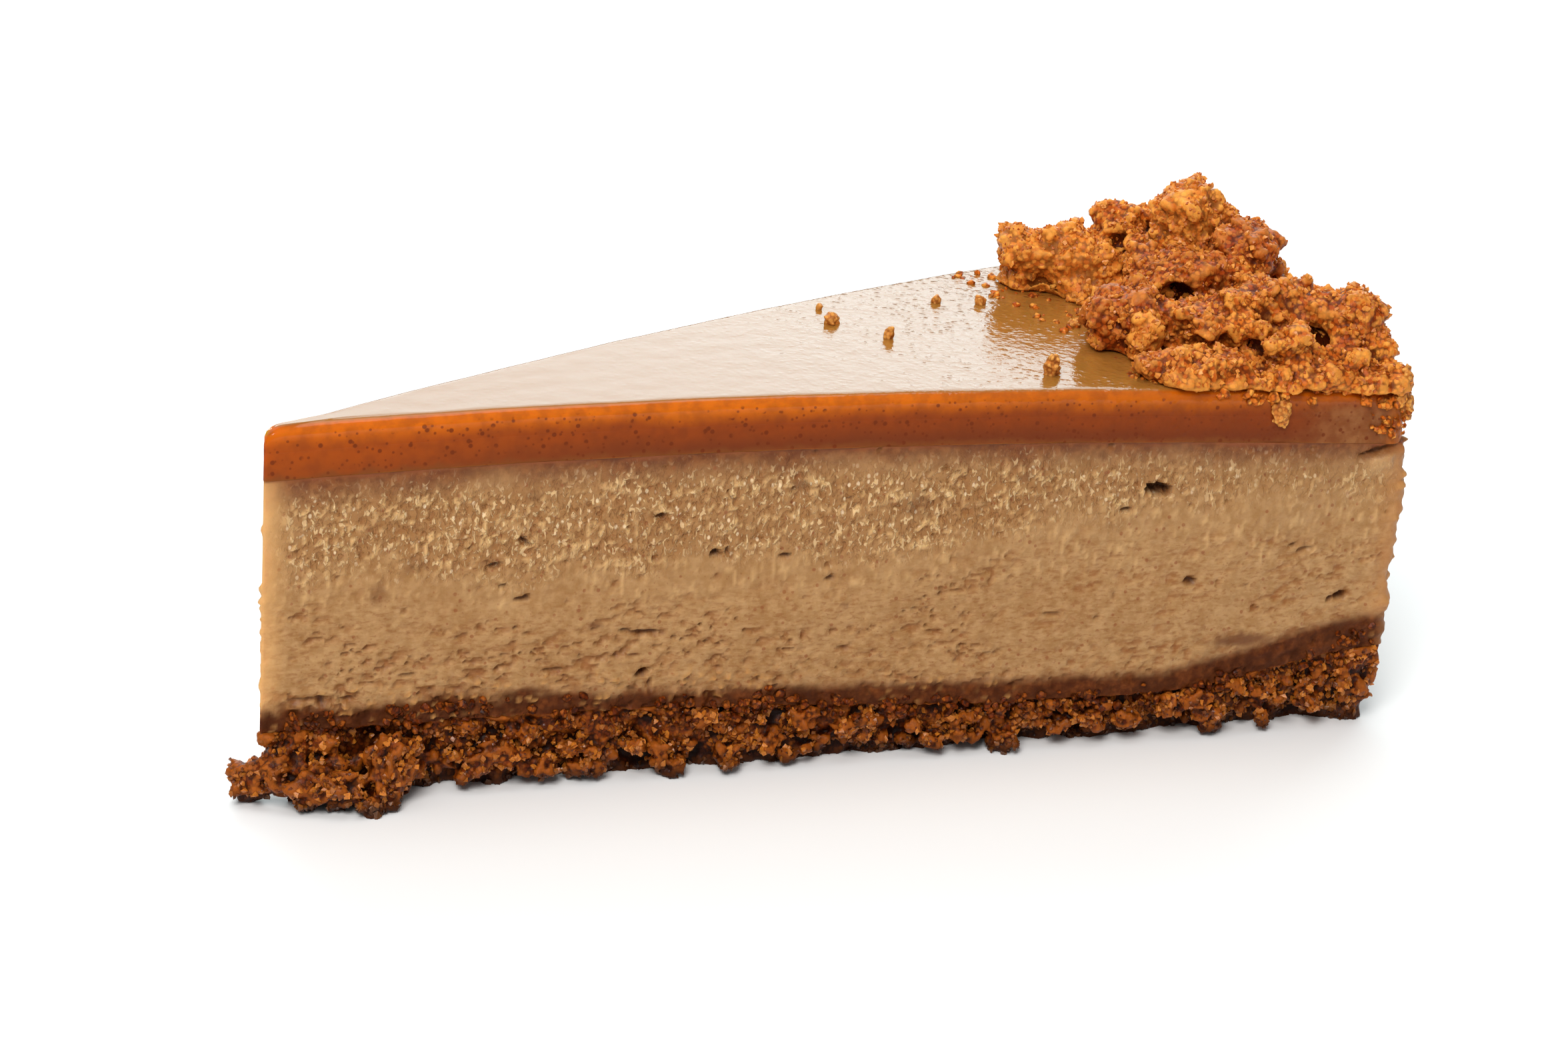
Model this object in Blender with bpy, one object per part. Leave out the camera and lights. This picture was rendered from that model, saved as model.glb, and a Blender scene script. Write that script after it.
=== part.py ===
"""One slice of baked caramel cheesecake, cut from a round cake.

From the bottom up it is a crumb base, the baked cheese filling, a set caramel glaze and a ring of
biscuit crumble along the rim. Metres, +Z up. The slice's centre line lies along X, with the tip at
-X. The origin is on its flat underside, near the middle of its length.
"""

import math
import random

import bmesh
import bpy
from mathutils import Matrix, Vector, noise

MM = 0.001

# The whole cake, as it left its tin.
CAKE_RADIUS = 131.8 * MM
PORTIONS = 14
HALF_ANGLE = math.pi / PORTIONS
CROWN_RADIUS = 39 * MM
CROWN_HEIGHT = 43.9 * MM
RIM_HEIGHT = 40.4 * MM
GLAZE_THICKNESS = 6 * MM
GLAZE_EDGE_ROUND = 1.3 * MM
GAP = 0.3 * MM

# The slice's plan: the point where its two cuts meet, and how round its upright edges are.
APEX_X = -64.6 * MM
TIP_ROUND = 0.35 * MM
CORNER_ROUND = 2.2 * MM

# The crumb base: thick under the tip, thin towards the rim, and pressed up against the tin there.
# Its foot stands in a little, and its tip has broken off.
BASE_AT_TIP = 8.6 * MM
BASE_THINNEST = 5.9 * MM
BASE_AT_RIM = 9.8 * MM
BASE_THINS_FROM = 31 * MM
BASE_THINS_TO = 96 * MM
BASE_CURLS_FROM = 104 * MM
BASE_UNDERCUT = 0.6 * MM
BASE_TIP_LOSS = 3.4 * MM
TIP_LOSS_REACH = 14 * MM
BASE_CRUMBS = 48

# The ring of crumble on the glaze. Its packed middle is highest half way along the ring.
HEAP_INNER = 102 * MM
HEAP_OUTER = 130.4 * MM
HEAP_HALF_ANGLE = HALF_ANGLE - math.radians(0.5)
MOUND_SKIRT = 0.9 * MM
MOUND_NEAR = 3.8 * MM
MOUND_MIDDLE = 6.2 * MM
MOUND_FAR = 2.0 * MM
HEAP_CRUMBS = 56

# How fine each surface is, and how short an edge left by fusing may be.
BASE_STEP = 3.2 * MM
FILLING_STEP = 3.3 * MM
GLAZE_STEP = 3.8 * MM
CROSS_FACES = 4
SPLINTER = 0.004 * MM

# Lumps of crumble by their place in the heap, in mm and degrees: x and y of the middle, its height
# over the glaze, then length, width, height and turn.
HEAP_LUMPS = {
    "left": (44.0, 12.9, 3.5, 15.0, 9.0, 8.0, -31),
    "far_left": (41.6, 16.2, 1.2, 6.0, 5.0, 3.6, 0),
    "shoulder": (52.0, 12.2, 7.0, 7.5, 7.0, 7.0, 20),
    "peak": (55.0, 3.1, 11.6, 9.0, 8.0, 8.0, 10),
    "perched": (57.3, -4.6, 9.2, 8.6, 7.6, 7.8, 35),
    "under_peak": (54.6, 3.4, 6.6, 10.0, 9.0, 8.0, 40),
    "middle": (48.9, -4.0, 5.6, 13.0, 9.0, 8.5, -31),
    "front": (38.8, -8.2, 3.2, 9.5, 7.5, 7.5, -31),
    "leaning": (37.9, -12.6, 2.6, 4.6, 4.2, 7.0, 0),
    "low_middle": (46.0, -12.6, 3.4, 10.0, 8.0, 7.0, -31),
    "near": (53.6, -14.8, 4.8, 11.0, 9.0, 9.0, -20),
    "corner": (60.2, -20.0, 5.0, 9.5, 8.5, 9.0, -60),
    "rim_middle": (62.0, -11.0, 3.6, 8.0, 7.5, 7.0, -60),
    "low_left": (42.4, -21.4, 1.6, 8.0, 5.0, 4.0, -13),
    "low_right": (53.0, -22.6, 1.8, 8.5, 6.0, 4.5, -13),
    "rim_stack": (62.2, -26.6, 0.6, 4.2, 3.6, 6.0, 0),
    "behind_peak": (61.8, 5.0, 5.0, 9.0, 8.0, 8.0, 80),
    "back": (59.5, 14.5, 2.6, 10.0, 9.0, 6.0, 70),
    "far": (51.5, 21.8, 1.4, 8.0, 6.0, 4.0, 25),
    "far_start": (39.4, 21.0, 0.6, 4.0, 3.2, 2.6, 0),
}

# Loose crumbs stuck to the glaze, sized and placed as the lumps are.
LOOSE_CRUMBS = {
    "left": (9.8, 8.0, 0.4, 2.4, 1.8, 1.9, 10),
    "left_front": (13.3, 1.5, 0.4, 1.7, 1.5, 2.2, 40),
    "back": (26.1, 11.8, 0.3, 1.6, 1.4, 1.4, 0),
    "back_right": (31.0, 10.0, 0.3, 1.7, 1.4, 1.4, 20),
    "near": (24.6, -14.6, 0.9, 2.2, 1.8, 3.6, 0),
    "on_the_cut": (48.4, -25.8, -2.4, 2.6, 2.0, 4.2, 0),
}

# Pieces of the base that broke off under the tip and stuck to it. Here the third number is the
# height over the table.
TIP_PIECES = {
    "end": (-63.8, 1.3, 3.2, 4.4, 3.4, 3.6, -30),
    "end_foot": (-63.7, 2.0, 1.0, 2.2, 2.2, 2.6, 0),
    "tongue": (-60.6, -0.4, 3.9, 7.5, 4.4, 4.2, -31),
    "tongue_middle": (-57.6, -3.0, 3.0, 7.0, 4.2, 4.2, -31),
    "tongue_tail": (-55.0, -4.2, 2.0, 4.5, 3.4, 3.2, -20),
    "tongue_root": (-59.4, 0.6, 5.2, 4.4, 3.6, 4.4, 0),
    "middle_foot": (-58.3, -2.2, 0.9, 2.6, 2.4, 2.6, 30),
    "hip": (-50.2, -4.9, 5.4, 4.4, 4.2, 5.0, 50),
    "leg": (-50.9, -5.4, 2.4, 3.2, 3.0, 5.2, 0),
    "toe": (-52.6, -6.0, 0.9, 4.4, 2.4, 2.2, 15),
}


def smooth(share):
    """A smooth step from 0 to 1."""
    share = min(1.0, max(0.0, share))
    return share * share * (3 - 2 * share)


def from_apex(x, y):
    """How far a point of the plan is from the middle of the cake."""
    return math.hypot(x - APEX_X, y)


def on_ring(radius, angle):
    """The point of the plan at this radius of the cake and this angle from the centre line."""
    return APEX_X + radius * math.cos(angle), radius * math.sin(angle)


def top_height(x, y):
    """The glaze's top, which sinks towards the middle of the cake and towards the rim."""
    fall = (CROWN_HEIGHT - RIM_HEIGHT) / (CAKE_RADIUS - CROWN_RADIUS) ** 2
    return CROWN_HEIGHT - fall * (from_apex(x, y) - CROWN_RADIUS) ** 2


def base_height(x, y):
    """The top of the crumb base."""
    radius = from_apex(x, y)
    thinned = smooth((radius - BASE_THINS_FROM) / (BASE_THINS_TO - BASE_THINS_FROM))
    curled = smooth((radius - BASE_CURLS_FROM) / (CAKE_RADIUS - BASE_CURLS_FROM))
    fall = (BASE_AT_TIP - BASE_THINNEST) * thinned
    return BASE_AT_TIP - fall + (BASE_AT_RIM - BASE_THINNEST) * curled


def bumps(x, y, z, per_mm, offset=0.0):
    """Smooth unevenness between -1 and 1, at this many bumps per millimetre."""
    return noise.noise(Vector((x, y, z)) / MM * per_mm + Vector((offset, 0, 0)))


def finish_mesh(name, bm):
    """Turns a bmesh into an object of the scene, its faces pointing out."""
    bmesh.ops.recalc_face_normals(bm, faces=bm.faces)
    mesh = bpy.data.meshes.new(name)
    bm.to_mesh(mesh)
    bm.free()
    obj = bpy.data.objects.new(name, mesh)
    bpy.context.scene.collection.objects.link(obj)
    return obj


def arc_points(centre, radius, start, end, step):
    """Points and outward normals along an arc, without its last point."""
    count = max(2, math.ceil(radius * abs(end - start) / step))
    turns = [start + (end - start) * i / count for i in range(count)]
    normals = [Vector((math.cos(turn), math.sin(turn))) for turn in turns]
    return [(centre + normal * radius, normal) for normal in normals]


def half_outline(step):
    """The near half of the slice's plan, from the middle of the tip to the middle of the rim."""
    side = Vector((-math.sin(HALF_ANGLE), -math.cos(HALF_ANGLE)))
    tip_centre = Vector((APEX_X + TIP_ROUND / math.sin(HALF_ANGLE), 0))
    points = arc_points(tip_centre, TIP_ROUND, math.pi, math.pi * 1.5 - HALF_ANGLE, step / 3)

    inner = CAKE_RADIUS - CORNER_ROUND
    corner_turn = math.asin(CORNER_ROUND / inner) - HALF_ANGLE
    corner_centre = Vector(on_ring(inner, corner_turn))
    start = tip_centre + side * TIP_ROUND
    end = corner_centre + side * CORNER_ROUND
    count = round((end - start).length / step)
    points += [(start.lerp(end, i / count), side) for i in range(count)]

    side_turn = -math.pi / 2 - HALF_ANGLE
    points += arc_points(corner_centre, CORNER_ROUND, side_turn, corner_turn, step / 2)
    points += arc_points(Vector((APEX_X, 0)), CAKE_RADIUS, corner_turn, 0, step)
    return points + [(Vector((APEX_X + CAKE_RADIUS, 0)), Vector((1, 0)))]


def layer(name, profile, step, relief):
    """A closed layer of the slice, from the underside up.

    profile lists, for each level, how far it stands in from the outline, how much shorter its tip
    is, and its height function. relief says how far a point stands out.
    """
    near = half_outline(step)
    mirror = Vector((1, -1))
    ring = near + [(point * mirror, normal * mirror) for point, normal in near[-2:0:-1]]
    bm = bmesh.new()
    loops = []
    for inset, tip_loss, height in profile:
        loop = []
        for point, normal in ring:
            z = height(*point)
            room = 0.6 * abs(point.y)
            out = normal * max(relief(*point, z) - inset, -room)
            shortened = tip_loss * (1 - smooth((point.x - APEX_X) / TIP_LOSS_REACH))
            loop.append(bm.verts.new((point.x + out.x + shortened, point.y + out.y, z)))
        loops.append(loop)
    for lower, upper in zip(loops, loops[1:]):
        for i in range(len(ring)):
            j = (i + 1) % len(ring)
            bm.faces.new((lower[i], lower[j], upper[j], upper[i]))
    close_with_rungs(bm, loops[0], len(near), profile[0][-1])
    close_with_rungs(bm, loops[-1], len(near), profile[-1][-1])
    return finish_mesh(name, bm)


def close_with_rungs(bm, loop, near_count, height):
    """Closes a loop with rungs from each near point to the far point across from it."""
    rungs = [[loop[0]]]
    for i in range(1, near_count - 1):
        near, far = loop[i], loop[len(loop) - i]
        rung = [near]
        for k in range(1, CROSS_FACES):
            place = near.co.lerp(far.co, k / CROSS_FACES)
            rung.append(bm.verts.new((place.x, place.y, height(place.x, place.y))))
        rungs.append(rung + [far])
    rungs.append([loop[near_count - 1]])
    for one, other in zip(rungs, rungs[1:]):
        for k in range(CROSS_FACES):
            corners = [one[min(k, len(one) - 1)], one[min(k + 1, len(one) - 1)]]
            corners += [other[min(k + 1, len(other) - 1)], other[min(k, len(other) - 1)]]
            bm.faces.new(list(dict.fromkeys(corners)))


def slab(name, rows, columns, column_at):
    """A closed slab. column_at gives the x, y, lower z and upper z of each point of its grid."""
    bm = bmesh.new()
    verts = {}
    for i in range(rows + 1):
        for j in range(columns + 1):
            x, y, low, high = column_at(i / rows, j / columns)
            verts[i, j, 0] = bm.verts.new((x, y, low))
            verts[i, j, 1] = bm.verts.new((x, y, high))
    for i in range(rows):
        for j in range(columns):
            for k in (0, 1):
                square = ((i, j), (i + 1, j), (i + 1, j + 1), (i, j + 1))
                bm.faces.new([verts[a, b, k] for a, b in square])
    along_rows = [((i, j), (i + 1, j)) for i in range(rows) for j in (0, columns)]
    along_columns = [((i, j), (i, j + 1)) for j in range(columns) for i in (0, rows)]
    for (a, b), (c, d) in along_rows + along_columns:
        bm.faces.new((verts[a, b, 0], verts[c, d, 0], verts[c, d, 1], verts[a, b, 1]))
    return finish_mesh(name, bm)


def cutter(name, low, high):
    """A slab wider than the slice, between two height functions."""
    over = 12 * MM
    half_width = 36 * MM

    def column_at(row, column):
        x = APEX_X - over + (CAKE_RADIUS + 2 * over) * row
        y = half_width * (2 * column - 1)
        return x, y, low(x, y), high(x, y)

    return slab(name, 38, 6, column_at)


def lump(place, size, turn, divisions, rough):
    """An uneven lump of biscuit: a rough ball stretched to its length, width and height."""
    turned = Matrix.Rotation(turn, 3, "Z")
    bm = bmesh.new()
    made = bmesh.ops.create_icosphere(bm, subdivisions=divisions, radius=1)
    for vert in made["verts"]:
        unit = vert.co.copy()
        swell = 1 + rough * noise.noise(unit * 1.9 + place / MM * 0.613)
        vert.co = place + turned @ (unit * size) * (0.5 * swell)
    return finish_mesh("lump", bm)


def lumps_to_fuse(places, fine_from, rough):
    """A collection with an object for each lump; those this long or longer have more faces."""
    collection = bpy.data.collections.new("lumps")
    bpy.context.scene.collection.children.link(collection)
    for place, size, turn in places:
        piece = lump(place, size, turn, 2 if size.x > fine_from else 1, rough)
        bpy.context.scene.collection.objects.unlink(piece)
        collection.objects.link(piece)
    return collection


def listed_places(table, ground):
    """The place, size and turn of each piece of a table, its height counted from the ground."""
    places = []
    for x, y, height, length, width, tall, turn in table.values():
        x, y = x * MM, y * MM
        place = Vector((x, y, ground(x, y) + height * MM))
        places.append((place, Vector((length, width, tall)) * MM, math.radians(turn)))
    return places


def crumb_size(draw, smallest, largest):
    """The length, width and height of a crumb drawn at random."""
    length = draw.uniform(smallest, largest)
    return Vector((length, length * draw.uniform(0.7, 1), length * draw.uniform(0.6, 0.9)))


def fuse(obj, collection):
    """Fuses the collection's objects with this one."""
    modifier = obj.modifiers.new("fuse", "BOOLEAN")
    modifier.operation = "UNION"
    modifier.operand_type = "COLLECTION"
    modifier.collection = collection
    apply_modifier(obj)
    for piece in list(collection.objects):
        bpy.data.objects.remove(piece)
    bpy.data.collections.remove(collection)


def cut(obj, tool):
    """Cuts the tool's shape from this object."""
    modifier = obj.modifiers.new("cut", "BOOLEAN")
    modifier.operation = "DIFFERENCE"
    modifier.object = tool
    apply_modifier(obj)
    bpy.data.objects.remove(tool)


def apply_modifier(obj):
    graph = bpy.context.evaluated_depsgraph_get()
    made = bpy.data.meshes.new_from_object(obj.evaluated_get(graph))
    obj.modifiers.clear()
    obj.data = made


def keep_main_body(obj):
    """Drops loose scraps and the walls of sealed hollows: all but the body of largest volume."""
    bm = bmesh.new()
    bm.from_mesh(obj.data)
    bmesh.ops.dissolve_degenerate(bm, edges=bm.edges, dist=SPLINTER)
    unseen, bodies = set(bm.faces), []
    while unseen:
        body, reached = [], [unseen.pop()]
        while reached:
            face = reached.pop()
            body.append(face)
            beside = {other for edge in face.edges for other in edge.link_faces} & unseen
            unseen -= beside
            reached += beside
        bodies.append(body)
    bodies.sort(key=volume_inside)
    spare = [face for body in bodies[:-1] for face in body]
    bmesh.ops.delete(bm, geom=spare, context="FACES")
    bm.to_mesh(obj.data)
    bm.free()


def volume_inside(faces):
    return sum(f.calc_center_median().dot(f.normal) * f.calc_area() for f in faces) / 3


def paint(obj, name, colour, roughness):
    material = bpy.data.materials.new(name)
    material.use_nodes = True
    shader = material.node_tree.nodes["Principled BSDF"]
    shader.inputs["Base Color"].default_value = (*colour, 1)
    shader.inputs["Roughness"].default_value = roughness
    shader.inputs["Metallic"].default_value = 0
    obj.data.materials.clear()
    obj.data.materials.append(material)


def crumb_base():
    """The pressed crumb base, with crumbs standing out of its sides and its broken tip."""
    trim = MM

    def relief(x, y, z):
        return MM * (0.9 * bumps(x, y, z, 0.22) + 0.8 * bumps(x, y, z, 0.6))

    def level(share):
        # The block is made too deep and too tall by the trim, and cut to shape once it is fused.
        return lambda x, y: (base_height(x, y) + 2 * trim) * share - trim

    profile = (
        (BASE_UNDERCUT + 0.4 * MM, BASE_TIP_LOSS, level(0)),
        (BASE_UNDERCUT, BASE_TIP_LOSS, level(0.25)),
        (BASE_UNDERCUT / 2, BASE_TIP_LOSS, level(0.42)),
        (0.2 * MM, BASE_TIP_LOSS * 0.8, level(0.65)),
        (0.3 * MM, 0, level(1)),
    )
    base = layer("crumb_base", profile, BASE_STEP, relief)

    draw = random.Random(3)
    outline = half_outline(0.5 * MM)
    places = listed_places(TIP_PIECES, lambda x, y: 0)
    for _ in range(BASE_CRUMBS):
        point, normal = draw.choice(outline)
        side = draw.choice((1, -1))
        size = crumb_size(draw, 1.8 * MM, 4 * MM)
        share = draw.uniform(0.16, 0.84)
        undercut = BASE_UNDERCUT * max(0.0, 1 - 1.8 * share)
        out = point + normal * (0.1 * size.x - 0.6 * undercut)
        place = Vector((out.x, side * out.y, share * base_height(*point)))
        places.append((place, size, draw.uniform(0, math.pi)))
    fuse(base, lumps_to_fuse(places, 4.1 * MM, 0.5))
    cut(base, cutter("above_the_base", base_height, lambda x, y: CROWN_HEIGHT))
    cut(base, cutter("below_the_table", lambda x, y: -10 * MM, lambda x, y: 0))
    keep_main_body(base)
    paint(base, "biscuit_base", (0.36, 0.13, 0.035), 0.75)


def cheese_filling():
    """The baked filling: knobbly where the knife pulled it open, smooth and torn lower down."""
    knobbly_from = 3 * MM
    knobbly_to = 17 * MM
    knobbly_fade = 8 * MM

    def relief(x, y, z):
        depth = top_height(x, y) - GLAZE_THICKNESS - z
        pulled = smooth(depth / knobbly_from) * smooth((knobbly_to - depth) / knobbly_fade)
        return MM * (0.5 * bumps(x, y, z, 0.9) * pulled + 0.35 * bumps(x, y, z, 0.12) - 0.1)

    def level(share):
        def height(x, y):
            floor = base_height(x, y) + GAP
            roof = top_height(x, y) - GLAZE_THICKNESS - GAP
            return floor + (roof - floor) * share

        return height

    shares = (0, 0.2, 0.4, 0.55, 0.68, 0.78, 0.88, 1)
    profile = [(0, 0, level(share)) for share in shares]
    filling = layer("cheese_filling", profile, FILLING_STEP, relief)
    paint(filling, "baked_cheese", (0.50, 0.29, 0.13), 0.5)


def caramel_glaze():
    """The set caramel, its upper edge round, with a few loose crumbs stuck to it."""

    def relief(x, y, z):
        return 0.16 * MM * bumps(x, y, z, 0.15)

    def below_top(drop):
        return lambda x, y: top_height(x, y) - drop

    profile = [(0, 0, below_top(GLAZE_THICKNESS)), (0, 0, below_top(GLAZE_THICKNESS / 2))]
    for degrees in (0, 30, 60, 90):
        turn = math.radians(degrees)
        inset = GLAZE_EDGE_ROUND * (1 - math.cos(turn))
        profile.append((inset, 0, below_top(GLAZE_EDGE_ROUND * (1 - math.sin(turn)))))
    glaze = layer("caramel_glaze", profile, GLAZE_STEP, relief)
    fuse(glaze, lumps_to_fuse(listed_places(LOOSE_CRUMBS, top_height), 10 * MM, 0.4))
    keep_main_body(glaze)
    paint(glaze, "caramel", (0.40, 0.12, 0.015), 0.15)


def mound_height(x, y):
    """How high the crumble is packed on the glaze between its big lumps."""
    along = math.atan2(y, x - APEX_X) / HALF_ANGLE
    middle = (MOUND_MIDDLE - MOUND_NEAR) * smooth(1 - abs(along) / 0.6)
    ridge = MOUND_NEAR + middle - (MOUND_NEAR - MOUND_FAR) * smooth((along - 0.2) / 0.5)
    across = (from_apex(x, y) - HEAP_INNER) / (HEAP_OUTER - HEAP_INNER)
    slopes = smooth(across / 0.45) * (1 - 0.25 * smooth((across - 0.6) / 0.4))
    return ridge * slopes * smooth((1.04 - abs(along)) / 0.14)


def biscuit_crumble():
    """The heap of crumble: its packed middle, with the lumps and crumbs that show fused on."""

    def mound_column(row, column):
        radius = HEAP_INNER + (HEAP_OUTER - HEAP_INNER) * row
        x, y = on_ring(radius, HEAP_HALF_ANGLE * (2 * column - 1))
        uneven = 1 + 0.35 * bumps(x, y, 0, 0.3)
        glaze = top_height(x, y)
        return x, y, glaze - MM, glaze + MOUND_SKIRT + mound_height(x, y) * uneven

    heap = slab("biscuit_crumble", 10, 16, mound_column)
    draw = random.Random(4)
    places = listed_places(HEAP_LUMPS, top_height)
    for _ in range(HEAP_CRUMBS):
        radius = draw.uniform(HEAP_INNER - 1.5 * MM, HEAP_OUTER)
        x, y = on_ring(radius, draw.uniform(-HEAP_HALF_ANGLE, HEAP_HALF_ANGLE))
        size = crumb_size(draw, 2 * MM, 4.4 * MM)
        rise = mound_height(x, y) + draw.uniform(0.2, 0.7) * size.x
        places.append((Vector((x, y, top_height(x, y) + rise)), size, draw.uniform(0, math.pi)))
    fuse(heap, lumps_to_fuse(places, 4.5 * MM, 0.45))
    cut(heap, cutter("glaze_below", lambda x, y: 20 * MM, lambda x, y: top_height(x, y) + GAP))
    keep_main_body(heap)
    paint(heap, "crumble", (0.45, 0.17, 0.04), 0.8)


for leftover in list(bpy.data.objects):
    bpy.data.objects.remove(leftover)
crumb_base()
cheese_filling()
caramel_glaze()
biscuit_crumble()
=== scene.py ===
"""The looks of one slice of baked caramel cheesecake, built over its solid part.

Metres, +Z up. The slice's centre line lies along X, with its tip at -X and its rim at +X, and the
near cut, the one that the camera sees, faces -Y.
"""

import math
import random

import bmesh
import bpy
import numpy as np
from mathutils import Matrix, Vector, noise


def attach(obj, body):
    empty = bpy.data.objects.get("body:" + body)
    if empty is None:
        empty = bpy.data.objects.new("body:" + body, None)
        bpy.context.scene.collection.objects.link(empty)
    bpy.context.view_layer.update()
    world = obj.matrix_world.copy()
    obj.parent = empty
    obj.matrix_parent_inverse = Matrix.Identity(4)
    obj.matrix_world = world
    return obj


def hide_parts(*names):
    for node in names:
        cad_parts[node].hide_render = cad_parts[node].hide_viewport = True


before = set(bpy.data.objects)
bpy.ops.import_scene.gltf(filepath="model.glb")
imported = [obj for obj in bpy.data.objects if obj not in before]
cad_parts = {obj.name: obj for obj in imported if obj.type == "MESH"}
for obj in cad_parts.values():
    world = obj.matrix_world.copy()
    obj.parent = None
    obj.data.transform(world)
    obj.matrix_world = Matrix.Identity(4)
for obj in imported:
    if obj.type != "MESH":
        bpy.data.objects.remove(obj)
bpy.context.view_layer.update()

# The baked cheese filling
# It is caramel-flavoured cream cheese, baked in a round tin and cut with a knife while cold. The
# knife pulled it into knobs under the glaze and left it smooth, with short tears, lower down. Its
# foot has soaked up brown syrup from the crumbs that it was baked on.

MM = 0.001
CAKE_RADIUS = 131.8 * MM
HALF_ANGLE = math.pi / 14
APEX_X = -64.6 * MM
CROWN_RADIUS = 39 * MM
CROWN_HEIGHT = 43.9 * MM
RIM_HEIGHT = 40.4 * MM
GLAZE_THICKNESS = 6 * MM
TIP_ROUND = 0.35 * MM
CORNER_ROUND = 2.2 * MM
BASE_AT_TIP = 8.6 * MM
BASE_THINNEST = 5.9 * MM
BASE_AT_RIM = 9.8 * MM
CONTACT = 0.03 * MM


def smooth(share):
    """A smooth step from 0 to 1, for numbers and for arrays."""
    share = np.clip(share, 0.0, 1.0)
    return share * share * (3 - 2 * share)


def from_apex(x, y):
    """How far points of the plan are from the middle of the whole cake."""
    return np.hypot(x - APEX_X, y)


def on_ring(radius, angle):
    """The point of the plan at this radius of the cake and this angle from the centre line."""
    return APEX_X + radius * math.cos(angle), radius * math.sin(angle)


def top_height(x, y):
    """The glaze's top, which sinks towards the middle of the cake and towards the rim."""
    fall = (CROWN_HEIGHT - RIM_HEIGHT) / (CAKE_RADIUS - CROWN_RADIUS) ** 2
    return CROWN_HEIGHT - fall * (from_apex(x, y) - CROWN_RADIUS) ** 2


def base_height(x, y):
    """The top of the crumb base: thick under the tip, thin further on and curled up at the rim."""
    radius = from_apex(x, y)
    thinned = smooth((radius - 31 * MM) / (65 * MM))
    curled = smooth((radius - 104 * MM) / (CAKE_RADIUS - 104 * MM))
    fall = (BASE_AT_TIP - BASE_THINNEST) * thinned
    return BASE_AT_TIP - fall + (BASE_AT_RIM - BASE_THINNEST) * curled


def scrambled(cells, seed):
    """A pseudo-random whole number from 0 to 65535 for each cell of a grid."""
    key = cells[:, 0] * 374761393 + cells[:, 1] * 668265263 + cells[:, 2] * 1274126177
    key = (key + seed * 974634777) & 0xFFFFFFFF
    key = ((key ^ (key >> 13)) * 1274126177) & 0xFFFFFFFF
    key = ((key ^ (key >> 16)) * 2246822519) & 0xFFFFFFFF
    return (key ^ (key >> 15)) & 0xFFFF


def bumps(places, size, seed):
    """Smooth unevenness between about -1 and 1. size is a bump's length, or one for each axis."""
    scaled = places / np.asarray(size) + 0.37 * seed
    corner = np.floor(scaled).astype(np.int64)
    part = scaled - corner
    ease = part * part * part * (part * (part * 6 - 15) + 10)
    total = np.zeros(len(places))
    for i in (0, 1):
        for j in (0, 1):
            for k in (0, 1):
                key = scrambled(corner + (i, j, k), seed)
                turn = key * (2 * math.pi / 65536)
                rise = (key * 2654435761 % 65536) / 32768 - 1
                flat = np.sqrt(1 - rise * rise)
                away = part - (i, j, k)
                slope = away[:, 0] * np.cos(turn) * flat
                slope += away[:, 1] * np.sin(turn) * flat
                slope += away[:, 2] * rise
                weight = np.abs(1 - i - ease[:, 0]) * np.abs(1 - j - ease[:, 1])
                total += slope * weight * np.abs(1 - k - ease[:, 2])
    return 1.6 * total


def specks(places, size, seed):
    """How far each place is from the nearest of some scattered points, and that point's number.

    size is the points' spacing, or one for each axis. The distance is in spacings and the number
    lies between 0 and 1.
    """
    scaled = places / np.asarray(size) + 0.37 * seed
    corner = np.floor(scaled).astype(np.int64)
    nearest = np.full(len(places), 9.0)
    number = np.zeros(len(places))
    for i in (-1, 0, 1):
        for j in (-1, 0, 1):
            for k in (-1, 0, 1):
                cell = corner + (i, j, k)
                key = scrambled(cell, seed)
                offset = np.stack([key % 41, key // 41 % 41, key // 1681 % 39], 1) / 40.0
                away = np.linalg.norm(cell + offset - scaled, axis=1)
                closer = away < nearest
                nearest = np.where(closer, away, nearest)
                number = np.where(closer, key / 65536, number)
    return nearest, number


def arc(centre, radius, start, end, step):
    """Points and outward normals along an arc, without its last point."""
    count = max(2, math.ceil(radius * abs(end - start) / step))
    turns = start + (end - start) * np.arange(count) / count
    normals = np.stack([np.cos(turns), np.sin(turns)], 1)
    return np.asarray(centre) + normals * radius, normals


def near_outline(step):
    """The near half of the slice's plan, from the middle of the tip to the middle of the rim."""
    side = np.array([-math.sin(HALF_ANGLE), -math.cos(HALF_ANGLE)])
    tip_centre = np.array([APEX_X + TIP_ROUND / math.sin(HALF_ANGLE), 0])
    tip = arc(tip_centre, TIP_ROUND, math.pi, math.pi * 1.5 - HALF_ANGLE, min(step, 0.2 * MM))
    inner = CAKE_RADIUS - CORNER_ROUND
    corner_turn = math.asin(CORNER_ROUND / inner) - HALF_ANGLE
    corner_centre = np.array(on_ring(inner, corner_turn))
    start = tip_centre + side * TIP_ROUND
    end = corner_centre + side * CORNER_ROUND
    count = round(np.linalg.norm(end - start) / step)
    cut = start + (end - start) * np.arange(count)[:, None] / count
    corner = arc(corner_centre, CORNER_ROUND, -math.pi / 2 - HALF_ANGLE, corner_turn, step)
    rim = arc((APEX_X, 0), CAKE_RADIUS, corner_turn, 0, step * 1.4)
    points = np.concatenate([tip[0], cut, corner[0], rim[0], [(APEX_X + CAKE_RADIUS, 0)]])
    normals = np.concatenate([tip[1], np.tile(side, (count, 1)), corner[1], rim[1], [(1, 0)]])
    return points, normals


def both_halves(near_half):
    """Points or normals all the way round the plan, from those of its near half."""
    return np.concatenate([near_half, near_half[-2:0:-1] * (1, -1)])


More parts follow.
